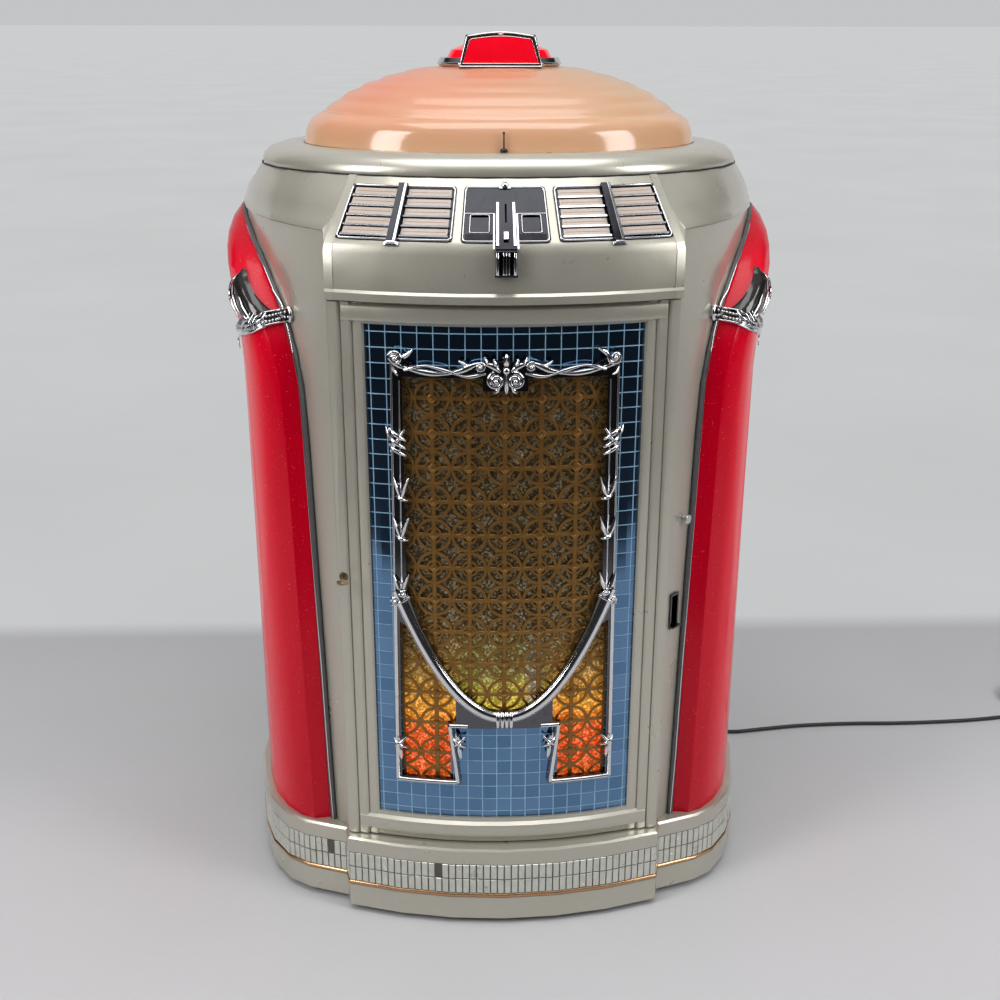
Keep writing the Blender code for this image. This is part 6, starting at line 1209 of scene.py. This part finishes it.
for side in (-1, 1):
    bezel(chrome_bag, side * (T_IN + 0.004), side * (T_OUT - 0.004), T_LOW + 0.006, T_HIGH - 0.006,
          0.0016, 0.0028, 0.0016, facing=side * RIDGE)
    # The dark bead outside each chrome bezel is a painted shadow line
    bezel(shadow_and_rib_bag, side * (T_IN - 0.001), side * (T_OUT + 0.001), T_LOW - 0.006, T_HIGH + 0.006,
          0.0002, 0.0022, 0.0010, facing=side * RIDGE)
    for near, far in ((T_IN + rim_w, RIDGE - ridge_w), (RIDGE + ridge_w, T_OUT - rim_w)):
        for row in range(5):
            foot = T_LOW + rim_s + row_step * row + (0.0034 + 0.0013) / SLOPE
            head = T_LOW + rim_s + row_step * (row + 1) - 0.0006 / SLOPE
            w0, w1 = sorted((side * (near + 0.010), side * (far - 0.010)))
            console_slab(strip_bag, w0, w1, foot, head, -0.0003, 0.0007, 0.0002)
            middle = (foot + head) / 2
            console_slab(rule_bag, w0 + 0.012, w1 - 0.012, middle - 0.0004 / SLOPE, middle + 0.0002 / SLOPE,
                         0.0006, 0.00085, 0.0001)
    for shift, width in ((0.0035, 0.0012), (0.0058, 0.0008)):
        w, half = side * RIDGE + shift / CONSOLE_HW, width / 2 / CONSOLE_HW
        console_slab(chrome_bag, w - half, w + half, T_LOW - rim_s + 0.002, T_HIGH + rim_s / 2 - 0.002,
                     0.0072, 0.0081, 0.0002, 1)
    for grow, h1 in ((0.0105, 0.0030), (0.0085, 0.0052), (0.0062, 0.0068)):
        console_slab(chrome_bag, side * RIDGE - grow / CONSOLE_HW, side * RIDGE + grow / CONSOLE_HW,
                     T_LOW - rim_s - grow * 0.55 / SLOPE, T_LOW - rim_s + 0.001, 0.0003, h1, 0.0006, 2)

# Coin plate
bezel(chrome_bag, -0.239, 0.239, 0.131, 0.859, 0.0016, 0.0026, 0.0016)
# The dark bead outside the coin plate's chrome bezel is a painted shadow line
bezel(shadow_and_rib_bag, -0.246, 0.246, 0.119, 0.871, 0.0002, 0.0022, 0.0010)
for side in (-1, 1):
    bezel(chrome_bag, side * 0.093, side * 0.203, 0.245, 0.487, 0.0019, 0.0017, 0.0010, 0.003)
    ribs = [(shadow_and_rib_bag, 0.068, 0.226, s, s + 0.006, 0.0017, 0.0024, 0.0002)
            for s in [0.150 + 0.014 * k for k in range(6)]]
    for target, near, far, *shape in (
        *ribs,
        (chrome_bag, 0.068, 0.236, 0.500, 0.508, 0.0017, 0.0027, 0.0003),
        (chrome_bag, 0.040, 0.053, 0.02, 0.610, 0.0115, 0.0137, 0.0007, 2),
        (chrome_bag, 0.062, 0.070, 0.02, 0.500, 0.0010, 0.0036, 0.0004, 2),
    ):
        console_slab(target, *sorted((side * near, side * far)), *shape)
knob = console(0, 0.875, 0.004)
chrome_bag.ball(knob, (0.0058, 0.0045, 0.0045), 16)
chrome_bag.ball(knob + Vector((0, 0, 0.0052)), (0.0030, 0.0030, 0.0024), 12)
console_slab(chrome_bag, -0.034, 0.034, 0.835, 0.868, 0.0017, 0.0040, 0.0007)
STEM_Y, STEM_Z = console(0, 0).y - 0.012, 1.126
OUTER_RIB, INNER_RIB = (0.0044, 0.0022, 0.003), (0.0020, 0.0016, 0.001)
half_turn = [math.pi * k / 6 for k in range(7)]
for x, (wide, proud, foot) in ((-0.0128, OUTER_RIB), (0.0128, OUTER_RIB), (-0.0042, INNER_RIB),
                               (0.0, INNER_RIB), (0.0042, INNER_RIB)):
    rings = []
    for z, lift in ((STEM_Z + foot, 0.3), (STEM_Z + foot + 0.002, 1), (1.158, 1), (1.1615, 0.3)):
        rings.append([Vector((x + wide / 2 * math.cos(a), STEM_Y + 0.0004 - lift * proud * math.sin(a), z))
                      for a in half_turn])
    chrome_bag.rings(rings)
for half, low_z, high_z, deep in ((0.0166, 1.1262, 1.1295, 0.0014), (0.0130, 1.1262, 1.1278, 0.0022)):
    near_y, far_y = STEM_Y - deep, STEM_Y + 0.006
    section = (far_y, low_z), (near_y, low_z), (near_y, high_z), (far_y, high_z)
    chrome_bag.rings([[Vector((x, y, z)) for y, z in section] for x in (-half, half)])
chrome_bag.done("console_chrome", "chrome", "cabinet")
shadow_and_rib_bag.done("console_shadow_lines_and_ribs", "black_chrome_and_painted_shadow", "cabinet")
strip_bag.done("title_strips", "paper", "cabinet")
rule_bag.done("title_rules", "rule_ink", "cabinet")

# Crown
SIGN_Y = LID_Y - 0.072


def sign_edge(inset, y):
    """The sign's outline, moved in by an inset: a foot, two shoulders and a low arch between them."""
    top = 1.460 - inset * 1.25
    shoulder = CROWN_FOOT + 0.048 - inset
    wide, narrow = 0.0660 - inset * 1.02, 0.0545 - inset * 1.02
    low = CROWN_FOOT + inset
    points = [(-wide, low), (0, low), (wide, low), (narrow + 0.0012, shoulder - 0.006),
              (narrow, shoulder - 0.0015), (narrow - 0.004, shoulder)]
    for k in range(1, 8):
        t = k / 8
        points.append(((narrow - 0.004) * (1 - t),
                       shoulder + (top - shoulder) * math.sin(t * math.pi / 2) ** 1.1))
    points += [(0, top)] + [(-x, z) for x, z in points[:2:-1]]
    return [Vector((x, y, z)) for x, z in points]


bag = Bag()
bag.rings([sign_edge(0.0058, SIGN_Y + 0.0005), sign_edge(0.0062, SIGN_Y - 0.0006),
           sign_edge(0.0085, SIGN_Y - 0.0016)])
bag.done("sign_face", "crown_red", "lid")
bag = Bag()
for inset, width in ((0.0012, 0.0024), (0.0056, 0.0013)):
    rounded(bag, sign_edge(inset, SIGN_Y - 0.0004), width, 0.0016, lambda p: FRONT, 6, True)
rings = []
for k in range(120):
    a = 2 * math.pi * k / 120
    spoke = Vector((0.0992 * math.cos(a), 0.0992 * LID_HD / LID_HW * math.sin(a), 0))
    centre, out = spoke + Vector((0, LID_Y, CROWN_FOOT + 0.0042)), spoke.normalized()
    turns = [math.pi * k / 4 for k in range(8)]
    rings.append([centre + out * (0.0017 * math.cos(b)) + UP * (0.0020 * math.sin(b)) for b in turns])
bag.rings(rings, closed_rows=True)
bag.ball((0, SIGN_Y + 0.006, 1.4566), (0.0085, 0.0075, 0.0030), 16)
bag.done("crown_chrome", "chrome", "lid")

# Pilaster ornaments
side_tree = tree_of("pilaster_left", "pilaster_trim_left", "cabinet_shell")


def lay(px, py, lift=0.0):
    """The place on the left pilaster that the photograph shows at a pixel, and the way out of it.

    A pixel beside the cabinet goes on round the pilaster, a little further back for each step."""
    for step in range(60):
        aim = ray(px + 0.5 * step, py).normalized()
        found = side_tree.ray_cast(camera.location, aim)
        if found[0] is not None and found[0].y < 0.005:
            place, normal = found[0], found[1]
            if step:
                further = Vector((-0.46, min(place.y + 0.0006 * step, 0.030), place.z))
                near = side_tree.find_nearest(further)
                place, normal = near[0], near[1]
            inward = normal.x > 0 if step else normal.dot(aim) > 0
            out = -normal if inward else normal
            out = Vector((out.x, out.y, out.z * 0.4)).normalized()
            place = place + out * lift
            place.x = max(place.x, -0.4600)
            return place, out
    raise ValueError("no place at that pixel")


def sampled(points, count):
    """Evenly spaced pixels on a smooth line through the given ones."""
    return [(p.x, p.y) for p in spaced(curve_through([(x, y, 0) for x, y in points], 8), count)]


def both(name, look, build, replaced=None):
    """A piece on the left, as built, and its mirror image on the right."""
    for side, label in ((-1, "left"), (1, "right")):
        bag = Bag()
        build(bag)
        if side > 0:
            bag.verts = [flip(v) for v in bag.verts]
        bag.done(f"{name}_{label}", look, "cabinet", (f"{replaced}_{label}",) if replaced else (), 60)


def blade(bag, left, right, low_lift, top_lift, crown, count=18):
    """A crowned blade between two lines of pixels."""
    rings = []
    shares = [i / 8 for i in range(9)]
    for k, (start, end) in enumerate(zip(sampled(left, count), sampled(right, count))):
        t = k / count
        base = low_lift + (top_lift - low_lift) * t
        pixels = [(start[0] + (end[0] - start[0]) * u, start[1] + (end[1] - start[1]) * u) for u in shares]
        top = [lay(*p, base + crown * math.sin(math.pi * u) * (1 - 0.7 * t))[0]
               for p, u in zip(pixels, shares)]
        foot = [lay(*p, max(base - 0.004, -0.002))[0] for p in reversed(pixels)]
        rings.append(top + foot)
    bag.rings(rings)


def vine(bag, points, radius, lift, count=20, taper=True):
    """A strand laid on the pilaster through pixels, thinner towards its ends."""
    places, ups = zip(*(lay(px, py, lift) for px, py in sampled(points, count)))
    shares = [min(max(k / count, 0.04), 0.96) for k in range(count + 1)]
    radii = [radius * (0.35 + 0.65 * math.sin(math.pi * t) if taper else 1.0) for t in shares]
    bag.tube(places, radii, sides=10, ups=ups)


# The horn and its band in the photograph, in pixels
OUTER = [(246, 318), (240, 308), (236.5, 296), (236, 286), (238.5, 277), (244.5, 269.5)]
INNER = [(272, 311), (264, 304.5), (257, 297), (251.5, 288), (247.6, 278), (246.0, 269.0)]
BAND_LOW = [(239.5, 332), (257, 327), (275, 323), (292.5, 320)]
BAND_HIGH = [(243, 317), (259, 314), (276, 311), (290.5, 308)]


def horn(bag):
    blade(bag, OUTER, INNER, 0.004, 0.007, 0.0055)
    blade(bag, BAND_LOW, BAND_HIGH, 0.0032, 0.0034, 0.0045, 22)


def silver(bag):
    vine(bag, [(243, 316), (237.5, 304), (234.8, 293), (236, 283), (240, 275)], 0.0030, 0.0085)
    vine(bag, [(250, 318), (244, 309), (240.5, 300), (239.5, 291)], 0.0020, 0.0115)
    vine(bag, [(254, 318), (247.5, 307), (243.5, 297)], 0.0016, 0.0125)
    for shift in (0, 4, 8, 12):
        vine(bag, [(246 + shift, 329 - shift * 0.2), (249 + shift, 321), (253.5 + shift, 313)], 0.0028,
             0.0085, 12)
    for k in range(3):
        vine(bag, [(239.2 + 0.6 * k, 322.5 + 5.2 * k), (245 + 1.5 * k, 325.5 + 4.0 * k),
                   (255 + 3 * k, 323.5 + 2.4 * k), (266 + 2 * k, 320.5 + 1.4 * k)], 0.0022, 0.0060)
    vine(bag, [(243, 347), (241.2, 338), (245, 333), (254, 330.5), (264, 327.5)], 0.0024, 0.0050)
    for row in range(2):
        for column in range(9):
            bag.ball(lay(263 + 3.3 * column, 317.5 - 0.77 * column + 5.2 * row, 0.0078)[0], (0.0026,) * 3,
                     10)
    vine(bag, [(240.5, 331.5), (256, 327.8), (274, 323.4), (292, 320.2)], 0.0014, 0.0068, 20, False)
    vine(bag, [(258, 313.6), (268, 311.8), (280, 309.6), (290.5, 307.8)], 0.0014, 0.0068, 16, False)
    vine(bag, [(291.5, 307), (294, 313.5), (293, 321)], 0.0026, 0.0058, 10, False)


both("horn", "horn_black", horn, "ornament")
both("horn_silver", "chrome", silver)

# Bright line beside the trims
TRIM_LINE = [
    (0.421, 0.006, 1.156), (0.3975, -0.045, 1.126), (0.375, -0.095, 1.102), (0.3616, -0.120, 1.0775),
    (0.347, -0.143, 1.057), (0.338, -0.1575, 1.029), (0.329, -0.1695, 0.990), (0.323, -0.1776, 0.941),
    (0.3205, -0.181, 0.891), (0.3106, -0.193, 0.564), (0.3037, -0.201, 0.380), (0.295, -0.2106, 0.1515),
]
trim_tree = tree_of("pilaster_trim_left")


def bright_line(bag):
    places = []
    for x, y, z in curve_through(TRIM_LINE, 8):
        near = trim_tree.find_nearest(Vector((-x, y, z)) + Vector((-0.004, -0.012, 0)))
        places.append(near[0] + near[1] * 0.0002)
    bag.tube(places, 0.0011, sides=8)


both("trim_line", "chrome", bright_line)
